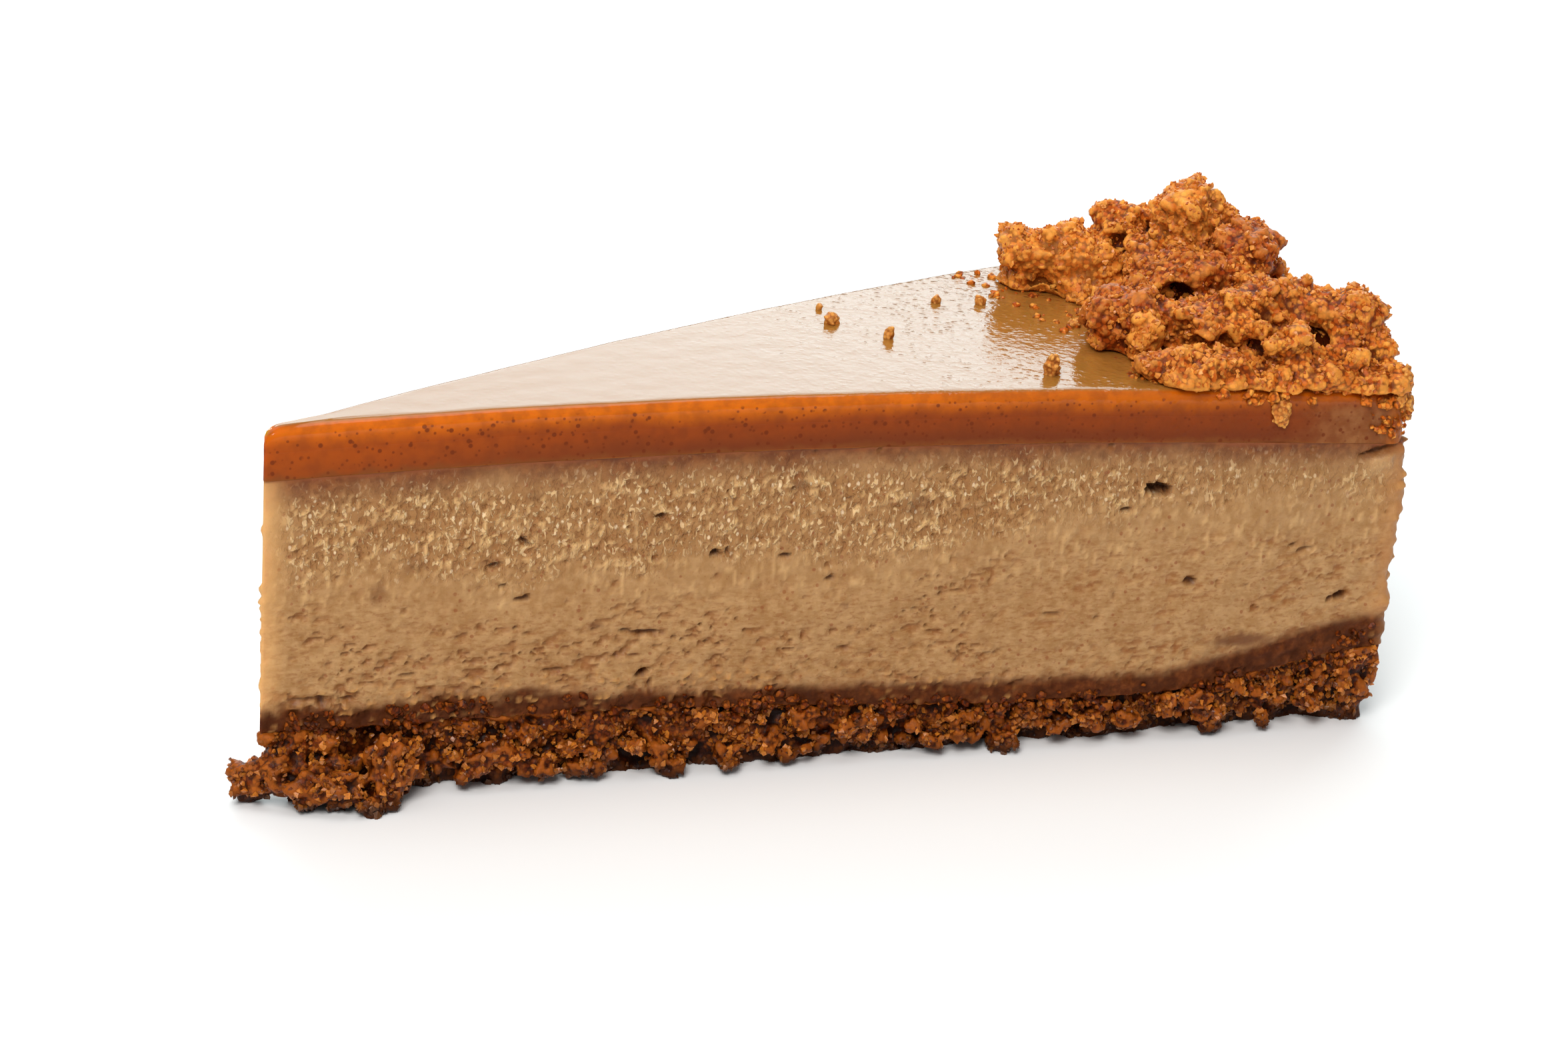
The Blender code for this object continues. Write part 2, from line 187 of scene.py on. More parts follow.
def wall_faces(rows, columns):
    """The faces of a closed wall through rows of points, numbered row by row."""
    below = np.arange(rows - 1)[:, None] * columns + np.arange(columns)
    beside = np.arange(rows - 1)[:, None] * columns + (np.arange(columns) + 1) % columns
    return np.stack([below, beside, beside + columns, below + columns], 2).reshape(-1, 4).tolist()


def grid_layer(name, step, levels):
    """A closed layer of the slice as a fine grid.

    levels gives, for the outline's points and normals, the rows of the grid from the underside
    up: an array of shape (rows, points, 3). The underside and the top are closed with rungs.
    """
    points, normals = near_outline(step)
    grid = levels(both_halves(points), both_halves(normals))
    rows, columns = grid.shape[:2]
    verts = grid.reshape(-1, 3).tolist()
    faces = wall_faces(rows, columns)
    half = len(points)
    for row in (0, rows - 1):
        rungs = [[row * columns] * 3]
        for i in range(1, half - 1):
            near, far = row * columns + i, row * columns + columns - i
            verts.append([a + (b - a) / 2 for a, b in zip(verts[near], verts[far])])
            rungs.append([near, len(verts) - 1, far])
        rungs.append([row * columns + half - 1] * 3)
        for one, other in zip(rungs, rungs[1:]):
            for k in (0, 1):
                corners = list(dict.fromkeys([one[k], one[k + 1], other[k + 1], other[k]]))
                faces.append(corners if row == 0 else corners[::-1])
    mesh = bpy.data.meshes.new(name)
    mesh.from_pydata(verts, [], faces)
    mesh.validate()
    return shown(name, mesh)


def shown(name, mesh, smooth_shaded=True):
    """Puts a mesh into the scene as an object, its faces pointing out."""
    bm = bmesh.new()
    bm.from_mesh(mesh)
    bmesh.ops.recalc_face_normals(bm, faces=bm.faces)
    bm.to_mesh(mesh)
    bm.free()
    if smooth_shaded:
        mesh.shade_smooth()
    obj = bpy.data.objects.new(name, mesh)
    bpy.context.scene.collection.objects.link(obj)
    return obj


def places_of(mesh):
    """The mesh's vertices as an array."""
    flat = np.zeros(len(mesh.vertices) * 3)
    mesh.vertices.foreach_get("co", flat)
    return flat.reshape(-1, 3)


def note_values(mesh, name, values):
    """Keeps one number for each vertex, for the material to read."""
    attribute = mesh.attributes.new(name, "FLOAT", "POINT")
    padded = np.zeros(len(mesh.vertices))
    padded[: len(values)] = values
    attribute.data.foreach_set("value", padded.astype(np.float32))


class Nodes:
    """A tree of nodes under construction."""

    def __init__(self, tree):
        self.tree = tree

    def node(self, kind, inputs=(), **settings):
        made = self.tree.nodes.new(kind)
        for name, value in settings.items():
            setattr(made, name, value)
        for name, value in dict(inputs).items():
            self.feed(made.inputs[name], value)
        return made

    def feed(self, socket, value):
        if isinstance(value, bpy.types.NodeSocket):
            self.tree.links.new(value, socket)
        else:
            socket.default_value = value


class Shader(Nodes):
    """A material under construction: its nodes, and short calls for the ones used often."""

    def __init__(self, name):
        self.material = bpy.data.materials.new(name)
        self.material.use_nodes = True
        super().__init__(self.material.node_tree)
        self.surface = self.tree.nodes["Principled BSDF"]
        self.place = self.node("ShaderNodeTexCoord").outputs["Object"]

    def value_of(self, name):
        return self.node("ShaderNodeAttribute", attribute_name=name).outputs["Fac"]

    def stretched(self, x, y, z):
        """Object coordinates stretched, so that a texture is squeezed along each axis."""
        made = self.node("ShaderNodeMapping", {"Vector": self.place, "Scale": (x, y, z)})
        return made.outputs[0]

    def noise(self, size, detail=2.0, place=None, distortion=0.0):
        """Soft unevenness from 0 to 1 whose features are about this long."""
        inputs = {"Vector": place or self.place, "Scale": 1 / size, "Detail": detail}
        inputs["Distortion"] = distortion
        return self.node("ShaderNodeTexNoise", inputs).outputs["Fac"]

    def cells(self, size, place=None):
        """How far each place is from the middle of its cell, the cells being about this wide."""
        inputs = {"Vector": place or self.place, "Scale": 1 / size}
        return self.node("ShaderNodeTexVoronoi", inputs).outputs["Distance"]

    def steps(self, value, low, high, to_low=0.0, to_high=1.0):
        """The value spread from one range onto another, held at its ends."""
        inputs = {"Value": value, "From Min": low, "From Max": high}
        inputs.update({"To Min": to_low, "To Max": to_high})
        return self.node("ShaderNodeMapRange", inputs, interpolation_type="SMOOTHSTEP").outputs[0]

    def math(self, operation, one, other=0.0):
        made = self.node("ShaderNodeMath", operation=operation)
        self.feed(made.inputs[0], one)
        self.feed(made.inputs[1], other)
        return made.outputs[0]

    def times(self, one, other):
        return self.math("MULTIPLY", one, other)

    def painted(self, colour, tint, share, strength):
        """The colour mixed with the tint by this share, weakened by the strength."""
        return self.mix(self.times(share, strength), colour, tint)

    def put_on(self, thing):
        """Makes this the only material of the thing."""
        thing.data.materials.clear()
        thing.data.materials.append(self.material)

    def mix(self, share, one, other):
        made = self.node("ShaderNodeMix", data_type="RGBA")
        sockets = [s for s in made.inputs if s.type == "RGBA"]
        self.feed(made.inputs[0], share)
        for socket, colour in zip(sockets, (one, other)):
            self.feed(socket, (*colour, 1) if isinstance(colour, tuple) else colour)
        return next(s for s in made.outputs if s.type == "RGBA")

    def bump(self, height, strength, distance, normal=None):
        inputs = {"Height": height, "Strength": strength, "Distance": distance}
        if normal:
            inputs["Normal"] = normal
        return self.node("ShaderNodeBump", inputs).outputs[0]

    def set(self, **inputs):
        for name, value in inputs.items():
            self.feed(self.surface.inputs[name.replace("_", " ")], value)


# Holes and cracks of the near cut, by their place along it and height, then length, height,
# depth and slant, all in mm but the slant, which is the rise for each mm along.
NEAR_HOLES = (
    (102.0, 30.5, 2.3, 1.3, 2.3, -0.1),
    (100.9, 30.9, 1.0, 0.7, 1.2, 0.0),
    (44.2, 30.8, 1.0, 0.7, 1.0, 0.0),
    (29.4, 28.9, 1.2, 0.7, 1.1, -0.5),
    (51.0, 26.1, 1.7, 0.6, 1.2, 0.0),
    (52.1, 26.4, 0.7, 0.5, 0.8, 0.0),
    (58.7, 25.3, 1.4, 0.5, 0.9, 0.0),
    (26.3, 26.3, 1.7, 0.6, 0.8, 0.15),
    (27.2, 23.9, 1.0, 0.4, 0.6, -0.2),
    (29.6, 22.3, 2.2, 0.45, 0.9, 0.1),
    (64.1, 22.5, 1.4, 0.6, 0.8, 0.1),
    (43.7, 17.3, 4.4, 0.5, 1.0, -0.05),
    (41.4, 17.7, 2.2, 0.35, 0.7, -0.2),
    (47.0, 16.5, 3.0, 0.3, 0.5, -0.35),
    (43.2, 12.6, 1.7, 0.8, 1.2, 0.2),
    (44.0, 11.2, 0.3, 2.2, 0.9, 0.0),
    (107.1, 19.3, 1.6, 0.9, 1.0, -0.1),
    (125.8, 16.3, 1.7, 0.9, 1.4, 0.2),
    (124.5, 16.0, 0.8, 0.4, 0.8, 0.2),
    (120.5, 22.3, 2.4, 0.4, 0.6, 0.1),
    (119.2, 23.0, 1.4, 0.5, 0.5, 0.2),
    (98.4, 28.5, 1.1, 0.5, 0.8, 0.0),
    (7.7, 11.9, 1.0, 1.4, 1.2, 0.0),
    (5.2, 12.2, 3.4, 0.5, 0.8, 0.1),
    (10.3, 12.0, 2.2, 0.4, 0.6, -0.1),
    (84.0, 12.3, 3.2, 0.35, 0.5, 0.05),
    (66.5, 14.1, 2.6, 0.35, 0.5, 0.1),
    (33.0, 13.6, 3.0, 0.35, 0.5, 0.1),
    (17.0, 14.2, 2.4, 0.35, 0.5, 0.05),
    (73.5, 18.0, 2.0, 0.3, 0.5, 0.1),
    (90.5, 16.5, 2.2, 0.35, 0.5, 0.0),
    (128.6, 33.9, 4.6, 0.8, 0.9, 0.25),
)

# Stains of caramel and syrup on the near cut: place along it, height, length and height in mm, then
# how strong.
NEAR_STAINS = (
    (37.5, 18.6, 1.6, 1.0, 0.9),
    (17.4, 26.8, 2.6, 2.0, 0.4),
    (13.6, 23.8, 2.0, 3.0, 0.45),
    (73.6, 30.4, 4.0, 3.0, 0.4),
    (94.9, 35.2, 1.4, 1.2, 0.8),
    (66.0, 19.2, 1.0, 0.8, 0.7),
    (113.5, 11.7, 8.0, 1.6, 1.0),
    (121.5, 36.4, 3.4, 2.0, 0.7),
    (60.0, 33.6, 2.0, 1.4, 0.6),
    (30.0, 34.0, 2.4, 1.4, 0.5),
    (86.0, 33.0, 2.0, 1.2, 0.5),
)
FILLING_STEP = 0.335 * MM


def along_the_cut(x, y):
    """How far from the middle of the cake each point is, counted along the nearest cut."""
    return (x - APEX_X) * math.cos(HALF_ANGLE) + np.abs(y) * math.sin(HALF_ANGLE)


def filling_relief(places, notes):
    """How far each point of the filling's sides stands out, with notes for its colours."""
    x, y, z = places.T
    s = along_the_cut(x, y) / MM
    side = np.where(y < 0, 0.0, 400.0)
    depth = (top_height(x, y) - GLAZE_THICKNESS - z) / MM
    height = (z - base_height(x, y)) / MM
    flat = np.stack([s, side, z / MM], 1)
    rim = smooth((from_apex(x, y) / MM - 130.2) / 1.3)
    cut = 1 - rim

    slow = 0.35 * bumps(places / MM, 8.3, 1) - 0.1
    wander = 2.2 * bumps(flat, (9.0, 9.0, 9.0), 2) + 1.0 * bumps(flat, (3.0, 3.0, 3.0), 3)
    twisted = flat.copy()
    twisted[:, 0] += 0.45 * bumps(flat, 1.1, 4)
    twisted[:, 2] += 0.45 * bumps(flat, 1.1, 5)
    ends_at = 15.0 - 5.5 * smooth((s - 62) / 40) - 2.5 * smooth((24 - s) / 14)
    pulled = smooth((depth + 0.2 + 0.6 * wander) / 5.5) * smooth((ends_at + wander - depth) / 6.0)
    pulled = np.clip(1.25 * pulled, 0, 1)
    pulled *= cut * smooth((s - 1.5) / 4) * (1 - 0.35 * smooth((s - 100) / 18))

    away, number = specks(twisted, (1.05, 50, 0.95), 11)
    pits = smooth((0.50 - away) / 0.28) * (number < 0.45)
    away, number = specks(twisted, (0.72, 50, 0.66), 12)
    small_pits = smooth((0.48 - away) / 0.26) * (number < 0.5)
    clusters = smooth(0.70 + 0.7 * bumps(flat, (4.5, 9.0, 3.0), 13))
    flecks = smooth((bumps(twisted, (0.62, 9.0, 1.2), 14) - 0.27) / 0.16) * clusters
    wide_flecks = smooth((bumps(twisted, (0.9, 9.0, 0.9), 6) - 0.34) / 0.16) * clusters
    flecks = np.maximum(flecks, wide_flecks)
    knobs = bumps(twisted, (0.75, 9.0, 0.85), 15)
    knobbly = 0.13 * knobs - 0.26 * pits - 0.16 * small_pits + 0.24 * flecks

    smears_end = ends_at + 4.5 + 3.5 * smooth((s - 65) / 25)
    smear_zone = smooth((depth - ends_at + 4.5) / 3) * smooth((smears_end + wander - depth) / 5) * cut
    smears = bumps(twisted, (0.55, 9.0, 1.9), 16)
    smear_marks = smooth((smears - 0.16) / 0.3) * clusters

    torn = smooth((depth - ends_at + 2.0) / 6) * cut
    slanted = twisted + np.stack([0 * s, 0 * s, -0.10 * s], 1)
    low_down = smooth((9.5 - height) / 4)
    low_down *= 1 - 0.55 * smooth((s - 30) / 60)
    tear_share = smooth(0.12 + 1.6 * bumps(flat, (6.0, 9.0, 2.4), 18) + 0.75 * low_down)
    tears = smooth((bumps(slanted, (1.5, 9.0, 0.55), 17) - 0.17) / 0.13) * tear_share
    long_share = smooth(0.20 + 1.6 * bumps(flat, (8.0, 9.0, 3.0), 50))
    long_tears = smooth((bumps(slanted, (2.9, 9.0, 0.50), 51) - 0.30) / 0.10) * long_share
    tears = np.maximum(tears, long_tears)
    small_tears = smooth((bumps(slanted, (0.7, 9.0, 0.42), 19) - 0.22) / 0.2)
    small_tears *= smooth(0.35 + 1.4 * bumps(flat, (4.0, 9.0, 2.0), 52))
    crumbly = smooth((6.5 - height + 1.5 * wander) / 4) * cut
    broken = bumps(twisted, (1.0, 9.0, 0.7), 20)

    fine = 0.05 * bumps(flat, 0.62, 21)
    away, number = specks(flat, (3.0, 50, 2.6), 22)
    pinholes = smooth((0.17 - away) / 0.08) * (number < 0.5) * cut

    holes = np.zeros(len(s))
    for along, high, length, tall, deep, slant in NEAR_HOLES:
        over = np.abs(s - along) < length + 1
        across = (s - along) / (length / 2)
        above = (z / MM - high - slant * (s - along)) / (tall / 2)
        ragged = 1 + 0.5 * bumps(flat[over], 0.8, 23)
        inside = np.zeros(len(s))
        reach = np.sqrt(across[over] ** 2 + above[over] ** 2) * ragged
        inside[over] = deep * smooth((1.25 - reach) / 0.7)
        holes = np.maximum(holes, inside * (y < 0))
    lip = smooth(1 - np.abs(s - 128.8) / 3.2) * smooth((33.4 + 0.25 * (s - 128.6) - z / MM) / 0.4)
    lip *= smooth((z / MM - 29.8) / 2.8) * (y < 0)

    out = slow + fine * cut
    out += knobbly * pulled
    out += 0.15 * smears * smear_zone
    gentler = 1 - 0.45 * smooth((s - 75) / 20)
    out -= (0.46 * tears + 0.15 * small_tears * (1 + low_down)) * torn * gentler
    out += 0.34 * broken * crumbly
    away, number = specks(flat, (1.0, 50, 0.9), 40)
    soft_crumbs = smooth((0.46 - away) / 0.3) * (number < 0.6) * smooth((5.2 - height) / 1.2)
    crumby_part = np.maximum(smooth((64 - s) / 8), smooth(1.6 - np.abs(s - 80) / 8))
    soft_crumbs *= crumby_part * smooth(0.5 + 1.2 * bumps(flat, (5.0, 9.0, 5.0), 48)) * cut
    out += 0.45 * soft_crumbs
    out -= 0.45 * pinholes + holes
    out += 0.7 * lip
    rough_rim = np.maximum(rim, 0.5 * smooth((s - 128.5) / 2))
    out += rough_rim * (0.30 * bumps(places / MM, 1.6, 24) + 0.20 * bumps(places / MM, 0.8, 25))
    away, number = specks(places / MM, 1.3, 53)
    rim_crumbs = smooth((0.48 - away) / 0.25) * (number < 0.35) * rough_rim
    out += 0.45 * rim_crumbs
    ends = np.maximum(smooth((s - 127) / 4), smooth(1 - (s - 0.5) / 2.5))
    out += ends * (0.55 * bumps(places / MM, 4.2, 28) + 0.30 * bumps(places / MM, 1.9, 29))
    out += 0.7 * rim
    tip_end = smooth(1 - (s - 0.3) / 2.2)
    out += tip_end * (0.2 + 0.5 * bumps(places / MM, 2.0, 35) + 0.35 * bumps(places / MM, 0.9, 36))

    # The flecks, the knife's smear marks and the lip are given a painted highlight, for light on raised bits
    # of cheese.
    painted_fleck_highlight = flecks * pulled * smooth((depth + 1) / 6) + 0.5 * smear_marks * smear_zone
    notes["painted_fleck_highlight"] = np.clip(painted_fleck_highlight + 0.6 * lip, 0, 1)
    notes["crumb"] = np.maximum(soft_crumbs, 0.8 * rim_crumbs)
    stain = np.zeros(len(s))
    for along, high, length, tall, strength in NEAR_STAINS:
        reach = np.hypot((s - along) / (length / 2), (z / MM - high) / (tall / 2))
        reach *= 1 + 0.5 * bumps(flat, 0.9, 49)
        stain = np.maximum(stain, strength * smooth((1.3 - reach) / 0.9) * (y < 0))
    notes["stain"] = stain
    # Painted shade deep in the holes.
    notes["painted_hole_shade"] = smooth((holes - 0.25) / 0.9)
    notes["pulled"] = pulled
    notes["torn"] = torn
    # Painted shade in the pits and tears of the cut, its pinholes and its holes.
    painted_pit_shade = (0.75 * pits + 0.6 * small_pits) * pulled + (1.15 * tears + 0.5 * small_tears) * torn
    notes["painted_pit_shade"] = np.clip(painted_pit_shade + 0.9 * pinholes + smooth(holes / 0.7), 0, 1.4)
    near_tip = smooth((60 - s) / 12)
    soaked_edge = 2.5 + 1.3 * smooth((s - 102) / 20) + 0.5 * bumps(flat, (6.0, 9.0, 6.0), 26)
    soaked_edge += near_tip * (0.9 * bumps(flat, (4.0, 9.0, 4.0), 37) + 0.5 * bumps(twisted, 1.2, 27))
    soaked_edge += 0.30 * bumps(twisted, 1.3, 38)
    notes["soaked"] = smooth((soaked_edge - height) / 1.6 + 0.5) * (1 - 0.75 * rim)
    notes["browned"] = smooth((soaked_edge + 1.6 - height) / 2.6)
    notes["under_glaze"] = smooth((4.6 - depth + 0.5 * wander) / 4.8)
    notes["stained"] = smooth((0.45 + 0.3 * bumps(flat, (3.0, 9.0, 3.0), 39) - depth) / 0.5)
    # The thin tip gets a painted glow, for light passing through it.
    notes["tip"] = smooth(1 - (s - 0.4) / 4.0)
    # The rim's baked crust, and the strip of the cut beside the corner, which also gets a painted glow for
    # light passing through the corner.
    notes["rim"] = np.maximum(rim, 0.75 * smooth((s - 127.5) / 5))
    return out * MM


filling_notes = {}


def filling_levels(ring, outward):
    count = round(30.5 * MM / FILLING_STEP)
    rows = []
    for share in np.concatenate([[0, 0.002], np.linspace(0, 1, count - 2)[1:-1], [0.998, 1]]):
        floor = base_height(*ring.T) + CONTACT
        roof = top_height(*ring.T) - GLAZE_THICKNESS - CONTACT
        rows.append(np.column_stack([ring, floor + (roof - floor) * share]))
    grid = np.array(rows)
    flat = grid.reshape(-1, 3)
    out = filling_relief(flat, filling_notes)
    room = 0.6 * np.abs(flat[:, 1])
    out = np.maximum(out, -room)
    normals = np.tile(outward, (count, 1))
    flat[:, :2] += normals * out[:, None]
    return grid


filling = grid_layer("filling", FILLING_STEP, filling_levels)
for note, numbers in filling_notes.items():
    note_values(filling.data, note, numbers)

cheese = Shader("baked_cheese")
patches = cheese.steps(cheese.noise(7 * MM, 3), 0.3, 0.7)
mottle = cheese.steps(cheese.noise(1.1 * MM, 4), 0.35, 0.7)
colour = cheese.mix(patches, (0.395, 0.207, 0.075), (0.340, 0.165, 0.052))
colour = cheese.painted(colour, (0.53, 0.305, 0.130), mottle, 0.5)
under_glaze = cheese.mix(mottle, (0.140, 0.031, 0.004), (0.235, 0.068, 0.012))
pulled = cheese.value_of("pulled")
colour = cheese.painted(colour, (0.33, 0.140, 0.038), pulled, 0.6)
colour = cheese.mix(cheese.value_of("under_glaze"), colour, under_glaze)
torn = cheese.value_of("torn")
upright_grain = cheese.noise(0.50 * MM, 3, cheese.stretched(1, 1, 0.55), 0.6)
# Painted highlight on the fine flecks and dots of the pulled knobs.
fine_flecks = cheese.times(cheese.steps(upright_grain, 0.56, 0.63), pulled)
dots = cheese.steps(cheese.cells(0.85 * MM, cheese.stretched(1, 1, 0.7)), 0.28, 0.15)
dots = cheese.times(dots, cheese.steps(cheese.noise(2 * MM, 2), 0.50, 0.60))
dots = cheese.times(dots, pulled)
fine_pits = cheese.times(cheese.steps(upright_grain, 0.45, 0.34), pulled)
flat_grain = cheese.noise(0.55 * MM, 3, cheese.stretched(0.6, 0.6, 1.6), 0.4)
fine_tears = cheese.times(cheese.steps(flat_grain, 0.45, 0.35), torn)
red_specks = cheese.steps(cheese.cells(1.3 * MM), 0.21, 0.13)
some_specks = cheese.steps(cheese.noise(2.5 * MM, 1), 0.45, 0.53)
red_specks = cheese.times(red_specks, some_specks)
colour = cheese.painted(colour, (0.26, 0.070, 0.018), red_specks, 0.7)
freckles = cheese.steps(cheese.cells(0.7 * MM), 0.20, 0.10)
freckles = cheese.times(freckles, cheese.steps(cheese.noise(3 * MM, 2), 0.42, 0.58))
freckles = cheese.times(freckles, cheese.steps(pulled, 0.0, 0.6, 0.42, 0.75))
colour = cheese.mix(freckles, colour, (0.24, 0.075, 0.020))
# Painted shade in the pits, tears, pinholes and holes.
colour = cheese.painted(colour, (0.30, 0.105, 0.024), cheese.value_of("painted_pit_shade"), 0.70)
# Painted shade in the fine pits of the knobs and in the fine tears lower down.
colour = cheese.painted(colour, (0.30, 0.115, 0.032), fine_pits, 0.45)
colour = cheese.painted(colour, (0.24, 0.074, 0.015), fine_tears, 0.42)
# Painted highlight on the edges between the fine tears.
painted_tear_highlight = cheese.times(cheese.steps(flat_grain, 0.52, 0.66), torn)
colour = cheese.painted(colour, (0.68, 0.43, 0.20), painted_tear_highlight, 0.16)
# Painted highlight on the raised flecks, fine flecks and dots.
colour = cheese.painted(colour, (0.82, 0.52, 0.23), cheese.value_of("painted_fleck_highlight"), 0.66)
colour = cheese.painted(colour, (0.88, 0.60, 0.31), fine_flecks, 0.60)
colour = cheese.painted(colour, (0.95, 0.72, 0.46), dots, 0.7)
colour = cheese.mix(cheese.value_of("stain"), colour, (0.17, 0.060, 0.016))
# Painted shade deep in the holes, near black.
colour = cheese.painted(colour, (0.085, 0.022, 0.005), cheese.value_of("painted_hole_shade"), 0.85)
# Painted glow: the tip lighter and more orange, for light passing through the thin cheese.
painted_tip_glow = cheese.times(cheese.value_of("tip"), 0.75)
colour = cheese.mix(painted_tip_glow, colour, (0.78, 0.42, 0.15))
# The rim's orange-brown crust, with a painted glow on the corner and the strip of the cut beside it.
colour = cheese.painted(colour, (0.48, 0.19, 0.055), cheese.value_of("rim"), 0.75)
colour = cheese.mix(cheese.value_of("stained"), colour, (0.24, 0.060, 0.014))
colour = cheese.painted(colour, (0.20, 0.062, 0.015), cheese.value_of("browned"), 0.5)
foot_grains = cheese.cells(0.75 * MM)
soaked_colour = cheese.mix(mottle, (0.085, 0.018, 0.003), (0.180, 0.046, 0.009))
# Painted shade between the grains of the soaked foot.
painted_foot_grain_shade = cheese.steps(foot_grains, 0.30, 0.62, 0.0, 0.35)
soaked_colour = cheese.mix(painted_foot_grain_shade, soaked_colour, (0.050, 0.010, 0.0015))
blotches = cheese.steps(cheese.noise(3 * MM, 3), 0.42, 0.66)
soaked_colour = cheese.mix(cheese.times(blotches, 0.7), soaked_colour, (0.050, 0.011, 0.002))
soaked = cheese.value_of("soaked")
colour = cheese.mix(soaked, colour, soaked_colour)
colour = cheese.painted(colour, (0.56, 0.28, 0.085), cheese.value_of("crumb"), 0.85)
fine_relief = cheese.bump(cheese.noise(0.40 * MM, 3), 0.6, 0.12 * MM)
fine_relief = cheese.bump(cheese.math("SUBTRACT", fine_flecks, fine_pits), 0.9, 0.16 * MM, fine_relief)
fine_relief = cheese.bump(fine_tears, -0.8, 0.12 * MM, fine_relief)
foot_relief = cheese.times(foot_grains, soaked)
fine_relief = cheese.bump(foot_relief, -0.4, 0.16 * MM, fine_relief)
cheese.set(Base_Color=colour, Normal=fine_relief)
cheese.set(Roughness=cheese.steps(cheese.noise(1.5 * MM, 2), 0.3, 0.7, 0.42, 0.62))
cheese.set(Specular_IOR_Level=cheese.steps(soaked, 0.0, 1.0, 0.28, 0.10))
cheese.set(Subsurface_Weight=0.35, Subsurface_Scale=0.0009)
cheese.surface.inputs["Subsurface Radius"].default_value = (1.0, 0.55, 0.25)
filling.data.materials.append(cheese.material)
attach(filling, "root")
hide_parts("cheese_filling")

# The caramel glaze
# It is a soft-set caramel, poured over the cold cake and cut with it, and holds small bubbles.
# Its side has a painted glow for light passing through the clear caramel: amber near its top and
# red-brown lower down. Its top is wet and glossy, with the faint ripples it set with.

GLAZE_STEP = 0.6 * MM
GLAZE_EDGE_ROUND = 1.3 * MM


def glaze_levels(ring, outward):
    drops = list(np.linspace(GLAZE_THICKNESS, GLAZE_EDGE_ROUND, 12))
    drops.insert(1, GLAZE_THICKNESS - 0.03 * MM)
    insets = [0.0] * len(drops)
    for degrees in (10, 20, 30, 40, 50, 60, 70, 80, 90):
        turn = math.radians(degrees)
        drops.append(GLAZE_EDGE_ROUND * (1 - math.sin(turn)))
        insets.append(GLAZE_EDGE_ROUND * (1 - math.cos(turn)))
    middle = len(drops)
    for share in np.linspace(0, 1, 40)[1:]:
        drops.append(0.0)
        insets.append(GLAZE_EDGE_ROUND + share)
    rows = []
    for level, (drop, inset) in enumerate(zip(drops, insets)):
        flat = np.column_stack([ring, 0 * ring[:, 0] + drop]) / MM
        uneven = 0.16 * bumps(flat * (1, 1, 0.2), 6.7, 31) + 0.04 * bumps(flat, 2.1, 33)
        uneven += 0.4 * smooth((from_apex(*ring.T) / MM - 127) / 4) * bumps(flat, 3.2, 34)
        uneven *= MM
        room = 0.6 * np.abs(ring[:, 1])
        fixed = min(inset, GLAZE_EDGE_ROUND)
        place = ring + outward * np.maximum(uneven - fixed, -room)[:, None]
        if level >= middle:
            share = 0.97 * (inset - GLAZE_EDGE_ROUND)
            reach = np.clip(place[:, 0], APEX_X + 2 * MM, APEX_X + CAKE_RADIUS - 4 * MM)
            heart = np.column_stack([reach, 0 * reach])
            place = place + (heart - place) * share
        high = top_height(*place.T) - drop
        worn = np.clip(1 - (from_apex(*ring.T) - 1.2 * MM) / (1.9 * MM), 0, 1)
        high -= 1.3 * MM * (1 - np.sqrt(1 - worn * worn)) * (1 - drop / GLAZE_THICKNESS)
        if level >= middle:
            flat = np.column_stack([place, 0 * place[:, 0]]) / MM
            high = high + 0.03 * MM * bumps(flat, 3.0, 32) * smooth((level - 20) / 4)
        rows.append(np.column_stack([place, high]))
    return np.array(rows)


glaze = grid_layer("glaze", GLAZE_STEP, glaze_levels)
x, y, z = places_of(glaze.data).T
note_values(glaze.data, "depth", (top_height(x, y) - z) / GLAZE_THICKNESS)
reach = from_apex(x, y) / MM
note_values(glaze.data, "rim", smooth((reach - 112) / 16))
note_values(glaze.data, "end", smooth((reach - 117) / 9) * (np.abs(y) > 15 * MM))
# Where the rim's corner gets a painted glow.
note_values(glaze.data, "corner", smooth((reach - 128.6) / 1.6))
note_values(glaze.data, "reach", reach / 132)
inset = ((x - APEX_X) * math.sin(HALF_ANGLE) - np.abs(y) * math.cos(HALF_ANGLE)) / MM
note_values(glaze.data, "inset", np.minimum(inset, 131.8 - reach))

caramel = Shader("caramel")
depth = caramel.value_of("depth")
wavy = caramel.noise(9 * MM, 2)
wavy_depth = caramel.math("ADD", depth, caramel.times(caramel.math("SUBTRACT", wavy, 0.5), 0.3))
# Painted glow of light through the caramel's side: amber near the top, red-brown lower down.
colour = caramel.mix(caramel.steps(wavy_depth, 0.12, 0.48), (0.62, 0.136, 0.0016), (0.270, 0.047, 0.005))
colour = caramel.mix(caramel.steps(wavy_depth, 0.50, 0.95), colour, (0.165, 0.032, 0.007))
along = caramel.value_of("reach")
# Painted glow towards the thin tip, for light passing through it; darker towards the rim.
colour = caramel.mix(caramel.steps(along, 0.40, 0.0, 0.0, 0.30), colour, (0.60, 0.110, 0.0015))
colour = caramel.mix(caramel.steps(along, 0.45, 0.9, 0.0, 0.30), colour, (0.16, 0.026, 0.004))
cloudy = caramel.steps(caramel.noise(1.4 * MM, 4), 0.35, 0.7, 0.0, 0.35)
colour = caramel.mix(cloudy, colour, (0.16, 0.030, 0.006))
top_part = caramel.steps(depth, 0.05, 0.0)
colour = caramel.mix(top_part, colour, (0.33, 0.135, 0.024))
seam = caramel.math("ADD", depth, caramel.times(caramel.noise(2 * MM, 2), 0.24))
seam = caramel.steps(seam, 0.98, 1.12)
colour = caramel.painted(colour, (0.200, 0.054, 0.011), seam, 0.8)
